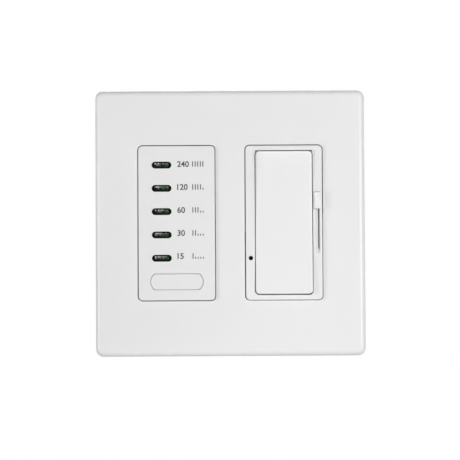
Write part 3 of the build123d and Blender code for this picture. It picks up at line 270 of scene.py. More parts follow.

# %% Boxes for the painted shade, each from low x to high x and from low z to high z
openings = (-41.0 * mm, 41.0 * mm, -35.0 * mm, 35.0 * mm)
top_lips = (-41.0 * mm, 41.0 * mm, 32.6 * mm, 33.8 * mm)
timer_bottom_lip = (-41.0 * mm, -5.0 * mm, -33.8 * mm, -33.3 * mm)
dimmer_bottom = (5.0 * mm, 41.0 * mm, -34.0 * mm, -33.0 * mm)
dimmer_left_lip = (6.0 * mm, 6.5 * mm, -34.0 * mm, -4.0 * mm)
dimmer_right_lip = (39.5 * mm, 40.1 * mm, 4.0 * mm, 34.0 * mm)
pocket_right = (35.3 * mm, 38.8 * mm, -31.6 * mm, 31.6 * mm)
pocket_bottom = (10.0 * mm, 36.0 * mm, -31.6 * mm, -30.9 * mm)
button_hole = (-35.0 * mm, -11.0 * mm, -29.5 * mm, -21.0 * mm)
slider_slot = (36.1 * mm, 38.8 * mm, -13.6 * mm, 13.6 * mm)
# The knob's edge boxes hold thin painted shadow lines.
knob_top_edge = (36.2 * mm, 38.7 * mm, 12.9 * mm, 13.3 * mm)
knob_bottom_edge = (36.2 * mm, 38.9 * mm, 5.7 * mm, 6.05 * mm)
# Heights above the wall where the painted shade starts, and how far it fades in.
below_face, at_edge, edge_fade = 6.39 * mm, 6.395 * mm, 0.03 * mm
knob_sides, knob_face = 8.4 * mm, 8.8 * mm
print("dust starts", round(below_face * 1000, 2), "mm above the wall in the plate's openings")

# %% Plastics, white and dark
plastics = {
    "plate_plastic": moulded(
        "plate_plastic",
        (0.800, 0.802, 0.800),
        gloss=0.40,
        # The seams paint shade into the openings' walls, and dark shadow lines along the lips of
        # the openings.
        seams=[
            {"start": below_face, "fade": 0.3 * mm, "inside": openings, "outside": [dimmer_bottom]},
            {"start": at_edge, "fade": edge_fade, "inside": top_lips},
            {"start": below_face, "fade": 2 * edge_fade, "inside": timer_bottom_lip},
            {"start": at_edge, "fade": edge_fade, "inside": dimmer_left_lip},
            {"start": at_edge, "fade": edge_fade, "inside": dimmer_right_lip},
        ],
    ),
    "subplate_plastic": moulded("subplate_plastic", (0.70, 0.70, 0.69), gloss=0.50),
    "timer_plastic": moulded(
        "timer_plastic",
        (0.795, 0.797, 0.795),
        gloss=0.42,
        # Painted shade on the face's walls down in the gap, but none round the button.
        seams=[
            {"start": 6.5 * mm, "fade": 0.4 * mm, "outside": [button_hole]},
        ],
    ),
    "button_plastic": moulded("button_plastic", (0.800, 0.802, 0.800)),
    "dimmer_plastic": moulded(
        "dimmer_plastic",
        (0.802, 0.804, 0.802),
        gloss=0.34,
        # Painted shade on the frame's walls in the gaps, none at the paddle's right and bottom, and
        # a band of painted shade in the slider's slot.
        seams=[
            {
                "start": 6.2 * mm,
                "fade": 0.6 * mm,
                "outside": [pocket_right, pocket_bottom, dimmer_bottom],
            },
            {"start": 6.7 * mm, "fade": 1.3 * mm, "stop": 6.55 * mm, "inside": slider_slot},
        ],
    ),
    "paddle_plastic": moulded("paddle_plastic", (0.830, 0.832, 0.830), gloss=0.38),
    "knob_plastic": moulded(
        "knob_plastic",
        (0.830, 0.832, 0.830),
        # Painted shade on the knob's lower sides, and painted shadow lines at its top and bottom
        # edges.
        seams=[
            {"start": knob_sides, "fade": 1.1 * mm},
            {"start": knob_face, "fade": 0.5 * mm, "inside": knob_top_edge},
            {"start": knob_face, "fade": 0.9 * mm, "inside": knob_bottom_edge},
        ],
    ),
    "component_black": moulded("component_black", (0.028, 0.028, 0.030), gloss=0.45, drift=0.1),
    "component_yellow": moulded("component_yellow", (0.72, 0.50, 0.08), gloss=0.40, drift=0.05),
    "component_red": moulded(
        "component_red", (0.36, 0.04, 0.025), gloss=0.22, drift=0.06, coat=0.5
    ),
    "key_plunger_plastic": moulded("key_plunger_plastic", (0.42, 0.07, 0.045), gloss=0.5),
    "housing_plastic": moulded(
        "housing_plastic",
        (0.055, 0.056, 0.060),
        gloss=0.55,
        grain=0.45 * mm,
        depth=0.02 * mm,
        drift=0.12,
    ),
}
print("plastics:", sorted(plastics))

# %% [markdown]
# ## Metals
# Zinc plated steel shows faint crystals in slightly different greys, and the rolled straps have
# fine lines along their length. Brass and copper have warm and cool patches where hands and heat
# have touched them. All of it is the same idea: a metallic surface whose colour and roughness
# follow cells and noise, and for the straps the noise is stretched along Z. The choke's ferrite
# core is dull and grey, so the plastics' recipe serves it.


# %% Plated and drawn metals
def metal(name, colour, roughness=0.32, crystals=1.2 * mm, drift=0.10, stretch=(1, 1, 1)):
    """Plated or drawn metal: crystals, patches and fine lines."""
    finish = Finish(name)
    crystal = finish.cells(crystals)
    patches = finish.noise(6 * mm, detail=3.0)
    lines = finish.noise(0.25 * mm, stretch=stretch)
    tone = finish.between(
        crystal * 0.4 + patches * 0.6, shade(colour, 1 - drift), shade(colour, 1 + drift)
    )
    return finish.close(
        Base_Color=tone,
        Metallic=1.0,
        Roughness=crystal * 0.08 + patches * 0.10 + (roughness - 0.08),
        Normal=finish.relief(lines, 0.003 * mm),
    )


metals = {
    "strap_steel": metal("strap_steel", (0.60, 0.60, 0.58), roughness=0.38, stretch=(1, 1, 0.08)),
    "screw_steel": metal("screw_steel", (0.62, 0.62, 0.60), crystals=0.5 * mm),
    "terminal_brass": metal("terminal_brass", (0.72, 0.52, 0.22), crystals=0.8 * mm),
    "contact_silver": metal("contact_silver", (0.78, 0.77, 0.74), roughness=0.24),
    "winding_copper": metal("winding_copper", (0.55, 0.22, 0.10), roughness=0.30, drift=0.2),
    "ferrite_grey": moulded("ferrite_grey", (0.10, 0.10, 0.10), gloss=0.7, grain=0.3 * mm),
    "earth_screw_green": metal("earth_screw_green", (0.04, 0.30, 0.10), roughness=0.36, drift=0.2),
}
print("metals:", sorted(metals))

# %% [markdown]
# ## Board, lamps and smoked plastic
# The circuit boards are green resist over glass weave. The lamps are cloudy epoxy. The indicator's
# light pipe and the windows are smoked plastic so dark that it reads as black until a lamp is lit,
# which needs a near black colour and a surface that mirrors little.


# %% Board, epoxy and smoked plastic
def circuit_board(name):
    """Green resist, a little raised over the copper, with a weave in it."""
    finish = Finish(name)
    weave = finish.noise(0.6 * mm, stretch=(1, 1, 0.5))
    copper = finish.noise(3 * mm, detail=1.0).above(0.53)
    tone = finish.between(copper * 0.7 + weave * 0.3, (0.02, 0.13, 0.06), (0.05, 0.26, 0.11))
    return finish.close(
        Base_Color=tone, Roughness=0.35, Normal=finish.relief(copper * 0.6 + weave * 0.4, 0.02 * mm)
    )


def smoked(name, colour, mirror=0.08):
    """Plastic of a very dark colour, faintly cloudy, that mirrors this much."""
    finish = Finish(name)
    cloud = finish.noise(1.5 * mm)
    return finish.close(
        Base_Color=finish.between(cloud, shade(colour, 0.7), shade(colour, 1.3)),
        Roughness=cloud * 0.1 + 0.15,
        Specular_IOR_Level=mirror,
    )


special = {
    "board_green": circuit_board("board_green"),
    "led_epoxy": moulded("led_epoxy", (0.75, 0.76, 0.62), gloss=0.2, drift=0.05, coat=0.6),
    "lens_smoke": smoked("lens_smoke", (0.006, 0.008, 0.006), mirror=0.04),
    "baffle_black": smoked("baffle_black", (0.004, 0.004, 0.004), mirror=0.02),
    "light_pipe_smoke": smoked("light_pipe_smoke", (0.003, 0.003, 0.003)),
}
finishes = {**plastics, **metals, **special}
print("special finishes:", sorted(special))

# %% [markdown]
# ## Giving each solid its finish
# The record of the solid model says which finish each piece has, so the pairing is read from
# there. Only the material slots change: the meshes stay as the solid model made them.

# %% Assign the finishes
for entry in frame["record"]["subparts"]:
    solid = frame["nodes"][entry["node"]]
    solid.data.materials.clear()
    solid.data.materials.append(finishes[entry["material_slot"]])

# %% [markdown]
# ## Making what repeats
# Screws, a coil's turns, lens facets, window liners and printed bars repeat, so each kind is one
# Geometry Nodes tree with named sizes: change a number and every copy follows. A tree starts from
# bare points, one where each copy goes, with an attribute that says how far that copy is turned.
# It ends by making the copies real and giving them their finish. The result is then frozen into a
# plain mesh.


# %% A Geometry Nodes recipe
class Recipe(Maker):
    """A Geometry Nodes tree that puts something on every point it is given."""

    def __init__(self, name, sizes):
        super().__init__(bpy.data.node_groups.new(name, "GeometryNodeTree"))
        sides = self.tree.interface
        sides.new_socket("Points", in_out="INPUT", socket_type="NodeSocketGeometry")
        sides.new_socket("Mesh", in_out="OUTPUT", socket_type="NodeSocketGeometry")
        for key, value in sizes.items():
            kind = "NodeSocketInt" if isinstance(value, int) else "NodeSocketFloat"
            sides.new_socket(key, in_out="INPUT", socket_type=kind).default_value = value
        self.start = self.tree.nodes.new("NodeGroupInput")

    def size(self, name):
        return Signal(self, self.start.outputs[name])

    def vector(self, x=0.0, y=0.0, z=0.0):
        return self.node("ShaderNodeCombineXYZ", {}, {0: x, 1: y, 2: z})

    def turned(self, low, high, radius, steps, sides=28):
        """A solid turned on a lathe along Z, with this radius on the way up."""
        line = self.node(
            "GeometryNodeCurvePrimitiveLine",
            {},
            {"Start": self.vector(z=low), "End": self.vector(z=high)},
        )
        path = self.node("GeometryNodeResampleCurve", {}, {"Curve": line, "Count": steps})
        ring = self.node(
            "GeometryNodeCurvePrimitiveCircle", {}, {"Resolution": sides, "Radius": 1.0}
        )
        values = {"Curve": path, "Profile Curve": ring, "Scale": radius, "Fill Caps": True}
        return self.node("GeometryNodeCurveToMesh", {}, values)

    def coil(self, radius, height, pitch, wire, sides, steps=20):
        """A wire wound round Z, upwards from the origin, with a corner of its section outwards."""
        values = {
            "Resolution": steps,
            "Rotations": height / pitch,
            "Start Radius": radius,
            "End Radius": radius,
            "Height": height,
        }
        path = self.node("GeometryNodeCurveSpiral", {}, values)
        level = self.node("GeometryNodeSetCurveNormal", {"mode": "Z_UP"}, {"Curve": path})
        section = self.node(
            "GeometryNodeCurvePrimitiveCircle", {}, {"Resolution": sides, "Radius": wire}
        )
        section = self.node(
            "GeometryNodeTransform", {}, {"Geometry": section, "Rotation": (0.0, 0.0, math.pi)}
        )
        values = {"Curve": level, "Profile Curve": section, "Fill Caps": True}
        return self.node("GeometryNodeCurveToMesh", {}, values)

    def moved(self, geometry, y=0.0, z=0.0):
        values = {"Geometry": geometry, "Translation": self.vector(y=y, z=z)}
        return self.node("GeometryNodeTransform", {}, values)

    def cut(self, geometry, cutter):
        values = {0: geometry, 1: cutter}
        return self.node("GeometryNodeMeshBoolean", {"operation": "DIFFERENCE"}, values)

    def copies(self, geometry, points=None):
        """One copy on each point, turned as the point's own attribute says."""
        angles = self.node(
            "GeometryNodeInputNamedAttribute", {"data_type": "FLOAT_VECTOR"}, {"Name": "turn"}
        )
        turn = self.node("FunctionNodeEulerToRotation", {}, {"Euler": angles})
        values = {
            "Points": points or self.size("Points"),
            "Instance": geometry,
            "Rotation": turn,
        }
        return self.node("GeometryNodeInstanceOnPoints", {}, values)

    def serve(self, geometry, material):
        """Makes the copies real, gives them their finish and ends the tree."""
        real = self.node("GeometryNodeRealizeInstances", {}, {"Geometry": geometry})
        coated = self.node(
            "GeometryNodeSetMaterial", {}, {"Geometry": real, "Material": material}
        )
        self.node("NodeGroupOutput", {}, {"Mesh": coated})
        return self


print("recipe maker ready:", Recipe.__doc__)


# %% Freeze a recipe into a plain piece
def add_piece(name, mesh, body="base"):
    """Puts a finished mesh in the scene, riding on a body."""
    made = bpy.data.objects.new(name, mesh)
    bpy.context.scene.collection.objects.link(made)
    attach(made, body)
    print(name, "has", len(mesh.polygons), "faces")
    return made


def grown(name, recipe, places, turns, body="base", crease=math.radians(35), **sizes):
    """Runs a recipe on points at these places and keeps the result as a plain mesh."""
    seeds = bpy.data.meshes.new(name)
    seeds.from_pydata([Vector(place) for place in places], [], [])
    turn = seeds.attributes.new("turn", "FLOAT_VECTOR", "POINT")
    for item, angles in zip(turn.data, turns):
        item.vector = angles
    holder = bpy.data.objects.new(name, seeds)
    bpy.context.scene.collection.objects.link(holder)
    modifier = holder.modifiers.new("recipe", "NODES")
    modifier.node_group = recipe.tree
    for item in recipe.tree.interface.items_tree:
        key = item.name.lower().replace(" ", "_")
        if item.in_out == "INPUT" and key in sizes:
            modifier[item.identifier] = sizes[key]
    evaluated = holder.evaluated_get(bpy.context.evaluated_depsgraph_get())
    mesh = bpy.data.meshes.new_from_object(evaluated)
    holder.modifiers.clear()
    bpy.data.objects.remove(holder)
    mesh.name = name
    mesh.shade_smooth()
    mesh.set_sharp_from_angle(angle=crease)
    return add_piece(name, mesh, body)


print("freezer ready:", grown.__doc__)

# %% [markdown]
# ## Screws
# The wall box screws stand far out of the back, so their threads show, and so do the slots of the
# terminal, earth and housing screws. One tree makes them all. The head is turned on a lathe with a
# rounded shoulder, and a Boolean cuts a straight slot and a shorter cross slot into it. The thread
# is a three sided wire wound round a core, which is how a rolled thread really looks. A seeded
# random number gives each screw its own angle, since no two are ever driven alike.


# %% The screw recipe
def screw_recipe(name, material):
    """A screw whose head stands on the origin, with its neck and thread below."""
    shoulder_drop = 0.16  # of the head's radius
    slot_run, cross_run = 2.4, 1.05  # of the head's radius
    ridge_height, core_inset = 0.4, 0.55  # of the pitch
    ridge_run, ridge_start = 0.95, 0.97  # of the thread's length
    tip_run, tip_radius = 0.06, 0.65  # of the core's length and radius
    most_roll, roll_seed = 0.9, 11
    recipe = Recipe(
        name,
        {
            "Head radius": 3.3 * mm,
            "Head height": 1.7 * mm,
            "Neck radius": 1.45 * mm,
            "Neck length": 1.3 * mm,
            "Thread radius": 1.75 * mm,
            "Thread length": 20.0 * mm,
            "Pitch": 0.79 * mm,
            "Slot width": 0.9 * mm,
            "Slot depth": 0.75 * mm,
        },
    )
    radius, height = recipe.size("Head radius"), recipe.size("Head height")
    pitch, neck = recipe.size("Pitch"), recipe.size("Neck length")
    length, depth = recipe.size("Thread length"), recipe.size("Slot depth")
    way = recipe.node("GeometryNodeSplineParameter")
    shoulder = way * way * way * way * way * way
    rounded = radius * (1.0 - shoulder * shoulder_drop)
    head = recipe.turned(0.0, height, rounded, steps=14, sides=36)
    slot_width = recipe.size("Slot width")
    for arms in (
        recipe.vector(slot_width, radius * slot_run, depth * 2.0),
        recipe.vector(radius * cross_run, slot_width, depth * 2.0),
    ):
        cutter = recipe.node("GeometryNodeMeshCube", {}, {"Size": arms})
        head = recipe.cut(head, recipe.moved(cutter, z=height))
    neck_part = recipe.turned(0.0 - neck, 0.0, recipe.size("Neck radius"), steps=2)
    core_radius = recipe.size("Thread radius") - pitch * core_inset
    tapered = core_radius * (way.within(0.0, tip_run) * (1.0 - tip_radius) + tip_radius)
    core = recipe.turned(0.0 - neck - length, 0.0 - neck, tapered, steps=24)
    ridge = recipe.coil(
        recipe.size("Thread radius") - pitch * ridge_height,
        length * ridge_run,
        pitch,
        pitch * ridge_height,
        sides=3,
    )
    ridge = recipe.moved(ridge, z=0.0 - neck - length * ridge_start)
    whole = recipe.node("GeometryNodeJoinGeometry", {}, {0: [head, neck_part, core, ridge]})
    roll = recipe.node(
        "FunctionNodeRandomValue",
        {"data_type": "FLOAT"},
        {2: -most_roll, 3: most_roll, 8: roll_seed},
        output=1,
    )
    placed = recipe.node(
        "GeometryNodeRotateInstances",
        {},
        {"Instances": recipe.copies(whole), "Rotation": recipe.vector(z=roll)},
    )
    return recipe.serve(placed, material)


steel_screw = screw_recipe("steel_screw", finishes["screw_steel"])
brass_screw = screw_recipe("brass_screw", finishes["terminal_brass"])
green_screw = screw_recipe("green_screw", finishes["earth_screw_green"])
print("screw sizes:", [item.name for item in steel_screw.tree.interface.items_tree][2:])

# %% Sizes and places of the screws
gang_offset = 23.02 * mm
box_screw_y, box_screw_z = -1.3 * mm, 41.67 * mm
earth_screw_x, earth_screw_y, earth_screw_z = 10.2 * mm, 0.4 * mm, -42.0 * mm
housing_screw_x, housing_screw_y, housing_screw_z = 16.2 * mm, 12.0 * mm, 29.7 * mm
terminal_screw_x, terminal_screw_y, terminal_pitch = 18.4 * mm, 14.5 * mm, 12.0 * mm
plate_screw_z, plate_screw_head, plate_screw_neck = 48.42 * mm, 1.1 * mm, 0.5 * mm
earth_sizes = {
    "head_radius": 3.2 * mm,
    "head_height": 2.2 * mm,
    "neck_radius": 1.6 * mm,
    "neck_length": 0.4 * mm,
    "thread_radius": 1.65 * mm,
    "thread_length": 1.2 * mm,
    "pitch": 0.6 * mm,
    "slot_depth": 0.9 * mm,
}
housing_sizes = {
    "head_radius": 2.4 * mm,
    "head_height": 1.6 * mm,
    "neck_radius": 1.2 * mm,
    "neck_length": 5.0 * mm,
    "thread_radius": 1.25 * mm,
    "thread_length": 8.25 * mm,
    "pitch": 0.6 * mm,
    "slot_width": 0.7 * mm,
    "slot_depth": 0.8 * mm,
}
terminal_sizes = {
    "head_radius": 3.5 * mm,
    "head_height": 1.8 * mm,
    "neck_radius": 1.75 * mm,
    "neck_length": 0.7 * mm,
    "thread_radius": 1.8 * mm,
    "thread_length": 1.8 * mm,
    "pitch": 0.6 * mm,
    "slot_width": 1.0 * mm,
    "slot_depth": 0.9 * mm,
}
print("the box screws keep the recipe's own sizes, and the other kinds bring theirs")

# %% Set the screws of both gangs
to_front = (math.pi / 2, 0.0, 0.0)
to_back = (-math.pi / 2, 0.0, 0.0)
to_side = {1: (0.0, math.pi / 2, 0.0), -1: (0.0, -math.pi / 2, 0.0)}


def screws(name, recipe, places, turns, node, **sizes):
    """Puts detailed screws at these places, instead of the plain ones of a solid node."""
    made = grown(name, recipe, places, turns, **sizes)
    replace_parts(made, node)


for gang, middle, terminals in (
    ("timer", -gang_offset, ((-1, 1), (-1, -1), (1, 0))),
    ("dimmer", gang_offset, ((1, 1), (1, -1), (-1, 0))),
):
    screws(
        f"{gang}_box_screws_threaded",
        steel_screw,
        [(middle, box_screw_y, z) for z in (box_screw_z, -box_screw_z)],
        [to_front] * 2,
        f"{gang}_box_screws",
    )
    screws(
        f"{gang}_earth_screw_slotted",
        green_screw,
        [(middle - earth_screw_x, earth_screw_y, earth_screw_z)],
        [to_back],
        f"{gang}_earth_screw",
        **earth_sizes,
    )
    screws(
        f"{gang}_housing_screws_slotted",
        steel_screw,
        [
            (middle + x, housing_screw_y, z)
            for x in (housing_screw_x, -housing_screw_x)
            for z in (housing_screw_z, -housing_screw_z)
        ],
        [to_back] * 4,
        f"{gang}_housing_screws",
        **housing_sizes,
    )
    screws(
        f"{gang}_terminal_screws_slotted",
        brass_screw,
        [
            (middle + side * terminal_screw_x, terminal_screw_y, row * terminal_pitch)
            for side, row in terminals
        ],
        [to_side[side] for side, _ in terminals],
        f"{gang}_terminal_screws",
        **terminal_sizes,
    )

# %% Set the screws of the subplate
plate_screw_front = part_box("subplate_screws")[0].y
plate_screw_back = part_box("subplate_screws")[1].y
screws(
    "subplate_screws_threaded",
    steel_screw,
    [
        (x, plate_screw_front + plate_screw_head, z)
        for x in (gang_offset, -gang_offset)
        for z in (plate_screw_z, -plate_screw_z)
    ],
    [to_front] * 4,
    "subplate_screws",
    head_radius=2.6 * mm,
    head_height=plate_screw_head,
    neck_radius=1.4 * mm,
    neck_length=plate_screw_neck,
    thread_radius=1.6 * mm,
    thread_length=plate_screw_back - plate_screw_front - (plate_screw_head + plate_screw_neck),
    pitch=0.7 * mm,
    slot_width=0.7 * mm,
    slot_depth=0.6 * mm,
)

# %% [markdown]
# ## The paddle's spring
# Inside the paddle's stem a coil spring pushes a plunger on the snap switch. The solid model fills
# its space with a sleeve, and here it gets its turns. It is the same wound wire as a screw's
# thread, with a round section and a wide pitch, and it rides on the paddle.

# %% Wind the spring
spring = Recipe(
    "coil_spring",
    {
        "Mean radius": 1.125 * mm,
        "Wire radius": 0.2 * mm,
        "Length": 9.8 * mm,
        "Pitch": 1.05 * mm,
    },
)
winding = spring.coil(
    spring.size("Mean radius"),
    spring.size("Length"),
    spring.size("Pitch"),
    spring.size("Wire radius"),
    sides=8,
)
spring.serve(spring.copies(winding), finishes["screw_steel"])
pivot_y, pivot_to_spring = -4.1 * mm, 1.9 * mm
paddle_tilt = math.radians(3.0)
out_of_wall = Vector((0, -math.cos(paddle_tilt), math.sin(paddle_tilt)))
spring_start = Vector((gang_offset, pivot_y, 0)) + pivot_to_spring * out_of_wall
spring_turn = (-math.pi / 2 - paddle_tilt, 0, 0)
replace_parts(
    grown("paddle_spring_coil", spring, [spring_start], [spring_turn], "paddle"),
    "paddle_spring",
)

# %% [markdown]
# ## Facets in the windows
# Each window is a smoked lens whose face is moulded into small blocks, so that a lamp behind lights
# it evenly. Unlit, the blocks show a little grey on the left and deep green on the right, and that
# grey is a painted highlight in the blocks' colour. The tree lays a grid of low pyramids on each
# window and gives every one a seeded random number called glint, less in the lower rows. The
# material turns that number into painted highlights: the higher the glint, the lighter the
# pyramid's colour.


# %% Facet material
timer_middle = -gang_offset
window_middle = Vector((timer_middle - 6.42 * mm, 0, 4.93 * mm))
window_pitch = 10.0 * mm
grey_until, green_from = -1.6 * mm, 2.0 * mm


def facet_material():
    """Painted grey highlights on the left of each window, and dark green with painted green
    highlights on the right.
    """
    finish = Finish("lens_facets")
    glint = finish.node(
        "ShaderNodeAttribute", {"attribute_type": "GEOMETRY", "attribute_name": "glint"}, output=2
    )
    # The colour paints highlights: grey-white on the left and green on the right, lighter for a
    # higher glint.
    sideways = (finish.across("X") - window_middle.x).within(grey_until, green_from)
    painted_glint = glint.within(0.25, 0.9) * (1.0 - sideways * 0.5)
    lit = finish.between(painted_glint, (0.006, 0.010, 0.006), (0.62, 0.64, 0.60))
    green = finish.between(glint, (0.006, 0.014, 0.006), (0.07, 0.22, 0.08))
    return finish.close(
        Base_Color=finish.node(
            "ShaderNodeMix", {"data_type": "RGBA"}, {0: sideways * 0.7, 6: lit, 7: green}, output=2
        ),
        Roughness=0.35 - glint * 0.15,
        Specular_IOR_Level=0.15,
    )


print("facets turn green from", round(green_from * 1000, 2), "mm right of a window's middle")

# %% A grid of points on each window
facets = Recipe(
    "window_facets",
    {
        "Width": 5.3 * mm,
        "Height": 1.25 * mm,
        "Columns": 9,
        "Rows": 3,
        "Facet width": 0.62 * mm,
        "Facet height": 0.58 * mm,
        "Rise": 0.14 * mm,
        "Seed": 4,
    },
)
# Facets in the upper rows get stronger painted highlights than those below.
dull_below, bright_above = -0.9 * mm, 0.6 * mm
grid_sizes = [facets.size(key) for key in ("Width", "Height", "Columns", "Rows")]
grid = facets.node("GeometryNodeMeshGrid", {}, dict(enumerate(grid_sizes)))
level = facets.node(
    "ShaderNodeSeparateXYZ", {}, {0: facets.node("GeometryNodeInputPosition")}, output=1
)
grid = facets.node(
    "GeometryNodeStoreNamedAttribute",
    {"data_type": "FLOAT", "domain": "POINT"},
    {"Geometry": grid, "Name": "level", "Value": level.within(dull_below, bright_above)},
)
spots = facets.node("GeometryNodeRealizeInstances", {}, {"Geometry": facets.copies(grid)})
print("the grid takes", len(facets.tree.nodes), "nodes")

# %% A low pyramid on each point
pyramid = facets.node(
    "GeometryNodeMeshCone",
    {"fill_type": "NGON"},
    {"Vertices": 4, "Radius Top": 0.35, "Radius Bottom": 0.7071, "Depth": 1.0},
)
pyramid = facets.node(
    "GeometryNodeTransform", {}, {"Geometry": pyramid, "Rotation": (0.0, 0.0, math.pi / 4)}
)
pyramid = facets.node(
    "GeometryNodeTransform",
    {},
    {
        "Geometry": pyramid,
        "Scale": facets.vector(
            facets.size("Facet width"), facets.size("Facet height"), facets.size("Rise")
        ),
    },
)
tiles = facets.copies(pyramid, spots)
chance = facets.node(
    "FunctionNodeRandomValue",
    {"data_type": "FLOAT"},
    {2: 0.0, 3: 1.0, 8: facets.size("Seed")},
    output=1,
)
upper = facets.node("GeometryNodeInputNamedAttribute", {"data_type": "FLOAT"}, {"Name": "level"})
# Glint sets how strong each pyramid's painted highlight is.
tiles = facets.node(
    "GeometryNodeStoreNamedAttribute",
    {"data_type": "FLOAT", "domain": "INSTANCE"},
    {"Geometry": tiles, "Name": "glint", "Value": (chance * 0.8 + 0.2) * upper},
)
facets.serve(tiles, facet_material())
lens_front = -7.0 * mm
rows = [
    (window_middle.x, lens_front, window_middle.z + row * window_pitch)
    for row in (2, 1, 0, -1, -2)
]
window_facets = grown(
    "timer_window_facets", facets, rows, [to_front] * 5, crease=math.radians(5)
)

# %% [markdown]
# ## Window liners
# Each lens sits in a dark liner, a thin sleeve that fills the gap between the lens and the white
# moulding and keeps stray light in. It frames the window with a crisp black edge. A sleeve follows
# a path, so the tree bends a pill shaped line and sweeps the sleeve's section along it.

# %% Line the windows
liner = Recipe(
    "window_liner",
    {
        "Width": 8.3 * mm,
        "Height": 2.75 * mm,
        "Corner": 1.374 * mm,
        "Wall": 0.17 * mm,
        "Depth": 1.6 * mm,
    },
)
outline = liner.node(
    "GeometryNodeCurvePrimitiveQuadrilateral", {}, {0: liner.size("Width"), 1: liner.size("Height")}
)
outline = liner.node(
    "GeometryNodeFilletCurve",
    {"mode": "POLY"},
    {"Curve": outline, "Count": 12, "Radius": liner.size("Corner"), "Limit Radius": True},
)
outline = liner.node("GeometryNodeSetCurveNormal", {"mode": "Z_UP"}, {"Curve": outline})
section = liner.node(
    "GeometryNodeCurvePrimitiveQuadrilateral", {}, {0: liner.size("Wall"), 1: liner.size("Depth")}
)
sleeve = liner.node("GeometryNodeCurveToMesh", {}, {"Curve": outline, "Profile Curve": section})
liner.serve(liner.copies(sleeve), finishes["baffle_black"])
liner_middle = -6.62 * mm
liner_places = [(x, liner_middle, z) for x, _, z in rows]
window_liners = grown("timer_window_liners", liner, liner_places, [to_front] * 5)

# %% [markdown]
# ## Printed numbers
# Beside each window the timer has a printed time. Here a plain scale in minutes stands in its
# place: a number in the program's built-in plain type, and five upright bars of which more are
# tall for a longer time. Print is a film of ink on the plastic, so each text is made a mesh,
# thickened to a few hundredths of a millimetre and laid on the face. The bars repeat, so a tree
# prints them, once with the tall size and once with the short one.

# %% Ink and type
face_height = 7.5 * mm
capital_height = 2.33 * mm
number_left = timer_middle + 0.3 * mm
bars_right = timer_middle + 11.35 * mm
scale_rise, scale_pitch = 0.4 * mm, 9.875 * mm
scale_levels = [rows[0][2] + scale_rise - row * scale_pitch for row in range(5)]
ink_thickness = 0.02 * mm
number_weight = 0.02  # in units of type


def ink_material():
    """Dark ink with a fine speckle."""
    finish = Finish("printed_ink")
    speckle = finish.noise(0.12 * mm, detail=3.0)
    return finish.close(
        Base_Color=finish.between(speckle, (0.035, 0.035, 0.036), (0.07, 0.07, 0.07)),
        Roughness=speckle * 0.2 + 0.45,
    )


def text_mesh(words, weight=0.0):
    """A flat mesh of the words, which faces +Z."""
    curve = bpy.data.curves.new(words, "FONT")
    curve.body, curve.offset = words, weight
    holder = bpy.data.objects.new(words, curve)
    bpy.context.scene.collection.objects.link(holder)
    evaluated = holder.evaluated_get(bpy.context.evaluated_depsgraph_get())
    mesh = bpy.data.meshes.new_from_object(evaluated)
    bpy.data.objects.remove(holder)
    return mesh


def span(mesh, axis):
    """The lowest and highest coordinate along one axis."""
    values = [vertex.co[axis] for vertex in mesh.vertices]
    return min(values), max(values)


capital_low, capital_top = span(text_mesh("H"), 1)
print_scale = capital_height / (capital_top - capital_low)
ink = ink_material()
print("one unit of type is", round(print_scale * 1000, 2), "mm")

# %% Lay the numbers beside the windows
numbers = bmesh.new()
for level_z, words in zip(scale_levels, ("240", "120", "60", "30", "15")):
    words_mesh = text_mesh(words, weight=number_weight)
    corner = (number_left, -face_height - ink_thickness, level_z - capital_height / 2)
    words_mesh.transform(
        Matrix.Translation(corner)
        @ Matrix.Rotation(math.pi / 2, 4, "X")
        @ Matrix.Scale(print_scale, 4)
        @ Matrix.Translation((-span(words_mesh, 0)[0], -capital_low, 0))
    )
    numbers.from_mesh(words_mesh)
bmesh.ops.remove_doubles(numbers, verts=numbers.verts, dist=1e-6)
film = bmesh.ops.extrude_face_region(numbers, geom=numbers.faces[:])
film_vertices = [part for part in film["geom"] if isinstance(part, bmesh.types.BMVert)]
bmesh.ops.translate(numbers, verts=film_vertices, vec=(0, ink_thickness, 0))
bmesh.ops.recalc_face_normals(numbers, faces=numbers.faces)
numbers_mesh = bpy.data.meshes.new("timer_scale_numbers")
numbers.to_mesh(numbers_mesh)
numbers.free()
numbers_mesh.materials.clear()
numbers_mesh.materials.append(ink)
add_piece("timer_scale_numbers", numbers_mesh)

# %% Print the bars
bar = Recipe(
    "printed_bar", {"Width": 0.40 * mm, "Height": capital_height, "Thickness": 2 * ink_thickness}
)
bar_block = bar.node(
    "GeometryNodeMeshCube",
    {},
    {"Size": bar.vector(bar.size("Width"), bar.size("Height"), bar.size("Thickness"))},
)
bar.serve(bar.copies(bar.moved(bar_block, y=bar.size("Height") * 0.5)), ink)
bar_count, bar_pitch, short_height = 5, 1.1 * mm, 0.8 * mm
tall_places, short_places = [], []
for tall, z in zip(range(bar_count, 0, -1), scale_levels):
    for step in range(bar_count):
        x = bars_right - (bar_count - 1 - step) * bar_pitch
        (tall_places if step < tall else short_places).append(
            (x, -face_height, z - capital_height / 2)
        )
for name, places, sizes in (
    ("timer_scale_tall_bars", tall_places, {}),
    ("timer_scale_short_bars", short_places, {"height": short_height}),
):
    grown(name, bar, places, [to_front] * len(places), **sizes)

# %% [markdown]
# ## The stage
# The picture behind the control is plain white. One lamp at the front right and a weaker one on
# the left stand level with the control, so that they light it evenly. A tiny one close in front of
# the dimmer's lower half makes that corner a little brighter, and a wide one high behind lights the
# back. The floor is a wide pale sheet under the plate's lower edge. It looks white to the camera
# and to reflections, and elsewhere it is an ordinary pale floor.


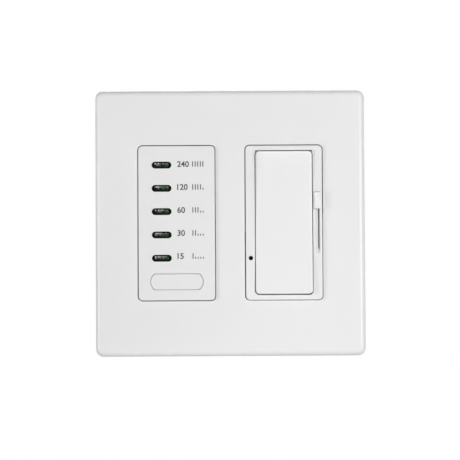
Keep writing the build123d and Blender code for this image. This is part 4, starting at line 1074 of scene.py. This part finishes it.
# %% White to the camera, pale to the light
def seen_as_white(tree, shader_output, surface_input):
    """Mixes a plain white glow over a shader for camera, glossy and transmission rays."""
    maker = Maker(tree)
    rays = tree.nodes.new("ShaderNodeLightPath")
    seen = [
        Signal(maker, rays.outputs[f"Is {kind} Ray"])
        for kind in ("Camera", "Glossy", "Transmission")
    ]
    amount = maker.node("ShaderNodeMath", {"operation": "MAXIMUM"}, {0: seen[0], 1: seen[1]})
    amount = maker.node("ShaderNodeMath", {"operation": "MAXIMUM"}, {0: amount, 1: seen[2]})
    for_world = surface_input.node.type == "OUTPUT_WORLD"
    glow = maker.node(
        "ShaderNodeBackground" if for_world else "ShaderNodeEmission",
        {},
        {"Color": (1, 1, 1, 1), "Strength": 1.0},
    )
    mixed = maker.node("ShaderNodeMixShader", {}, {0: amount, 1: shader_output, 2: glow})
    tree.links.new(mixed.socket, surface_input)


world = bpy.data.worlds.new("studio")
bpy.context.scene.world = world
world.use_nodes = True
world.node_tree.nodes.clear()
world_end = world.node_tree.nodes.new("ShaderNodeOutputWorld")
world_maker = Maker(world.node_tree)
ambient = world_maker.node("ShaderNodeBackground", {}, {"Color": (1, 1, 1, 1), "Strength": 0.08})
seen_as_white(world.node_tree, ambient, world_end.inputs["Surface"])
print("world ready")

# %% Floor
floor_size, floor_gap = 4.0, 0.02 * mm
floor_mesh = bpy.data.meshes.new("floor")
half = floor_size / 2
floor_z = solid_low.z - floor_gap
floor_mesh.from_pydata(
    [(x, y, floor_z) for x, y in ((-half, -half), (half, -half), (half, half), (-half, half))],
    [],
    [(0, 1, 2, 3)],
)
floor = bpy.data.objects.new("floor", floor_mesh)
bpy.context.scene.collection.objects.link(floor)
floor_finish = Finish("pale_floor")
floor_tone = floor_finish.between(floor_finish.noise(0.3), (0.84, 0.84, 0.84), (0.88, 0.88, 0.88))
floor_shader = floor_finish.node("ShaderNodeBsdfDiffuse", {}, {"Color": floor_tone})
floor_end = floor_finish.node("ShaderNodeOutputMaterial")
seen_as_white(floor_finish.tree, floor_shader, floor_end.inputs["Surface"])
floor_mesh.materials.append(floor_finish.material)
print("floor at", round(floor_z * 1000, 2), "mm")


# %% Lamps
def softbox(name, place, size, power, aim=(0, 0, 0)):
    """A square lamp at a place, turned to what it aims at."""
    light = bpy.data.lights.new(name, "AREA")
    light.shape, light.size, light.energy = "SQUARE", size, power
    lamp = bpy.data.objects.new(name, light)
    bpy.context.scene.collection.objects.link(lamp)
    lamp.location = place
    lamp.rotation_mode = "QUATERNION"
    lamp.rotation_quaternion = (Vector(aim) - Vector(place)).to_track_quat("-Z", "Y")


softbox("front_light", (0.6, -0.9, 0.05), 0.22, 7.25)
softbox("left_light", (-0.9, -0.5, 0.05), 0.22, 4.45)
softbox("near_light", (0.03, -0.12, -0.05), 0.05, 0.013, aim=(0, 0, 0.01))
softbox("back_light", (0.2, 1.2, 0.8), 1.0, 9.0)
print("four softboxes")

# %% [markdown]
# ## The camera
# The photograph was taken from almost straight ahead with a long lens, a little from below and
# with a slight roll. The direction, the distance and the lens were solved from the outlines of the
# plate and its two openings.

# %% Place the camera
camera_distance = 0.900
camera_azimuth, camera_elevation = math.radians(-0.394), math.radians(-2.474)
aim_azimuth, aim_elevation = math.radians(-0.386), math.radians(-2.295)
camera_roll = math.radians(-0.336)
sensor_width, lens_length = 36.0, 162.85  # in millimetres


def direction(azimuth, elevation):
    """The way from the object to a viewer at these angles."""
    level = math.cos(elevation)
    return Vector((math.sin(azimuth) * level, -math.cos(azimuth) * level, math.sin(elevation)))


camera_data = bpy.data.cameras.new("photo_camera")
camera_data.sensor_width, camera_data.lens = sensor_width, lens_length
camera_data.clip_start, camera_data.clip_end = 0.01, 20.0
camera = bpy.data.objects.new("photo_camera", camera_data)
bpy.context.scene.collection.objects.link(camera)
bpy.context.scene.camera = camera
back = direction(aim_azimuth, aim_elevation)
right = Vector((0, 0, 1)).cross(back).normalized()
up = back.cross(right)
right, up = (
    right * math.cos(camera_roll) + up * math.sin(camera_roll),
    up * math.cos(camera_roll) - right * math.sin(camera_roll),
)
camera.matrix_world = Matrix.Translation(
    direction(camera_azimuth, camera_elevation) * camera_distance
) @ Matrix((right, up, back)).transposed().to_4x4()
bpy.context.scene.view_settings.view_transform = "Standard"
print("camera at", [round(value, 4) for value in camera.matrix_world.translation])

# %% [markdown]
# ## Finishing
# The scene is brought up to date at the end. The dressed model has to stay as large as
# the solid one.

# %% Bring the scene up to date
bpy.context.view_layer.update()
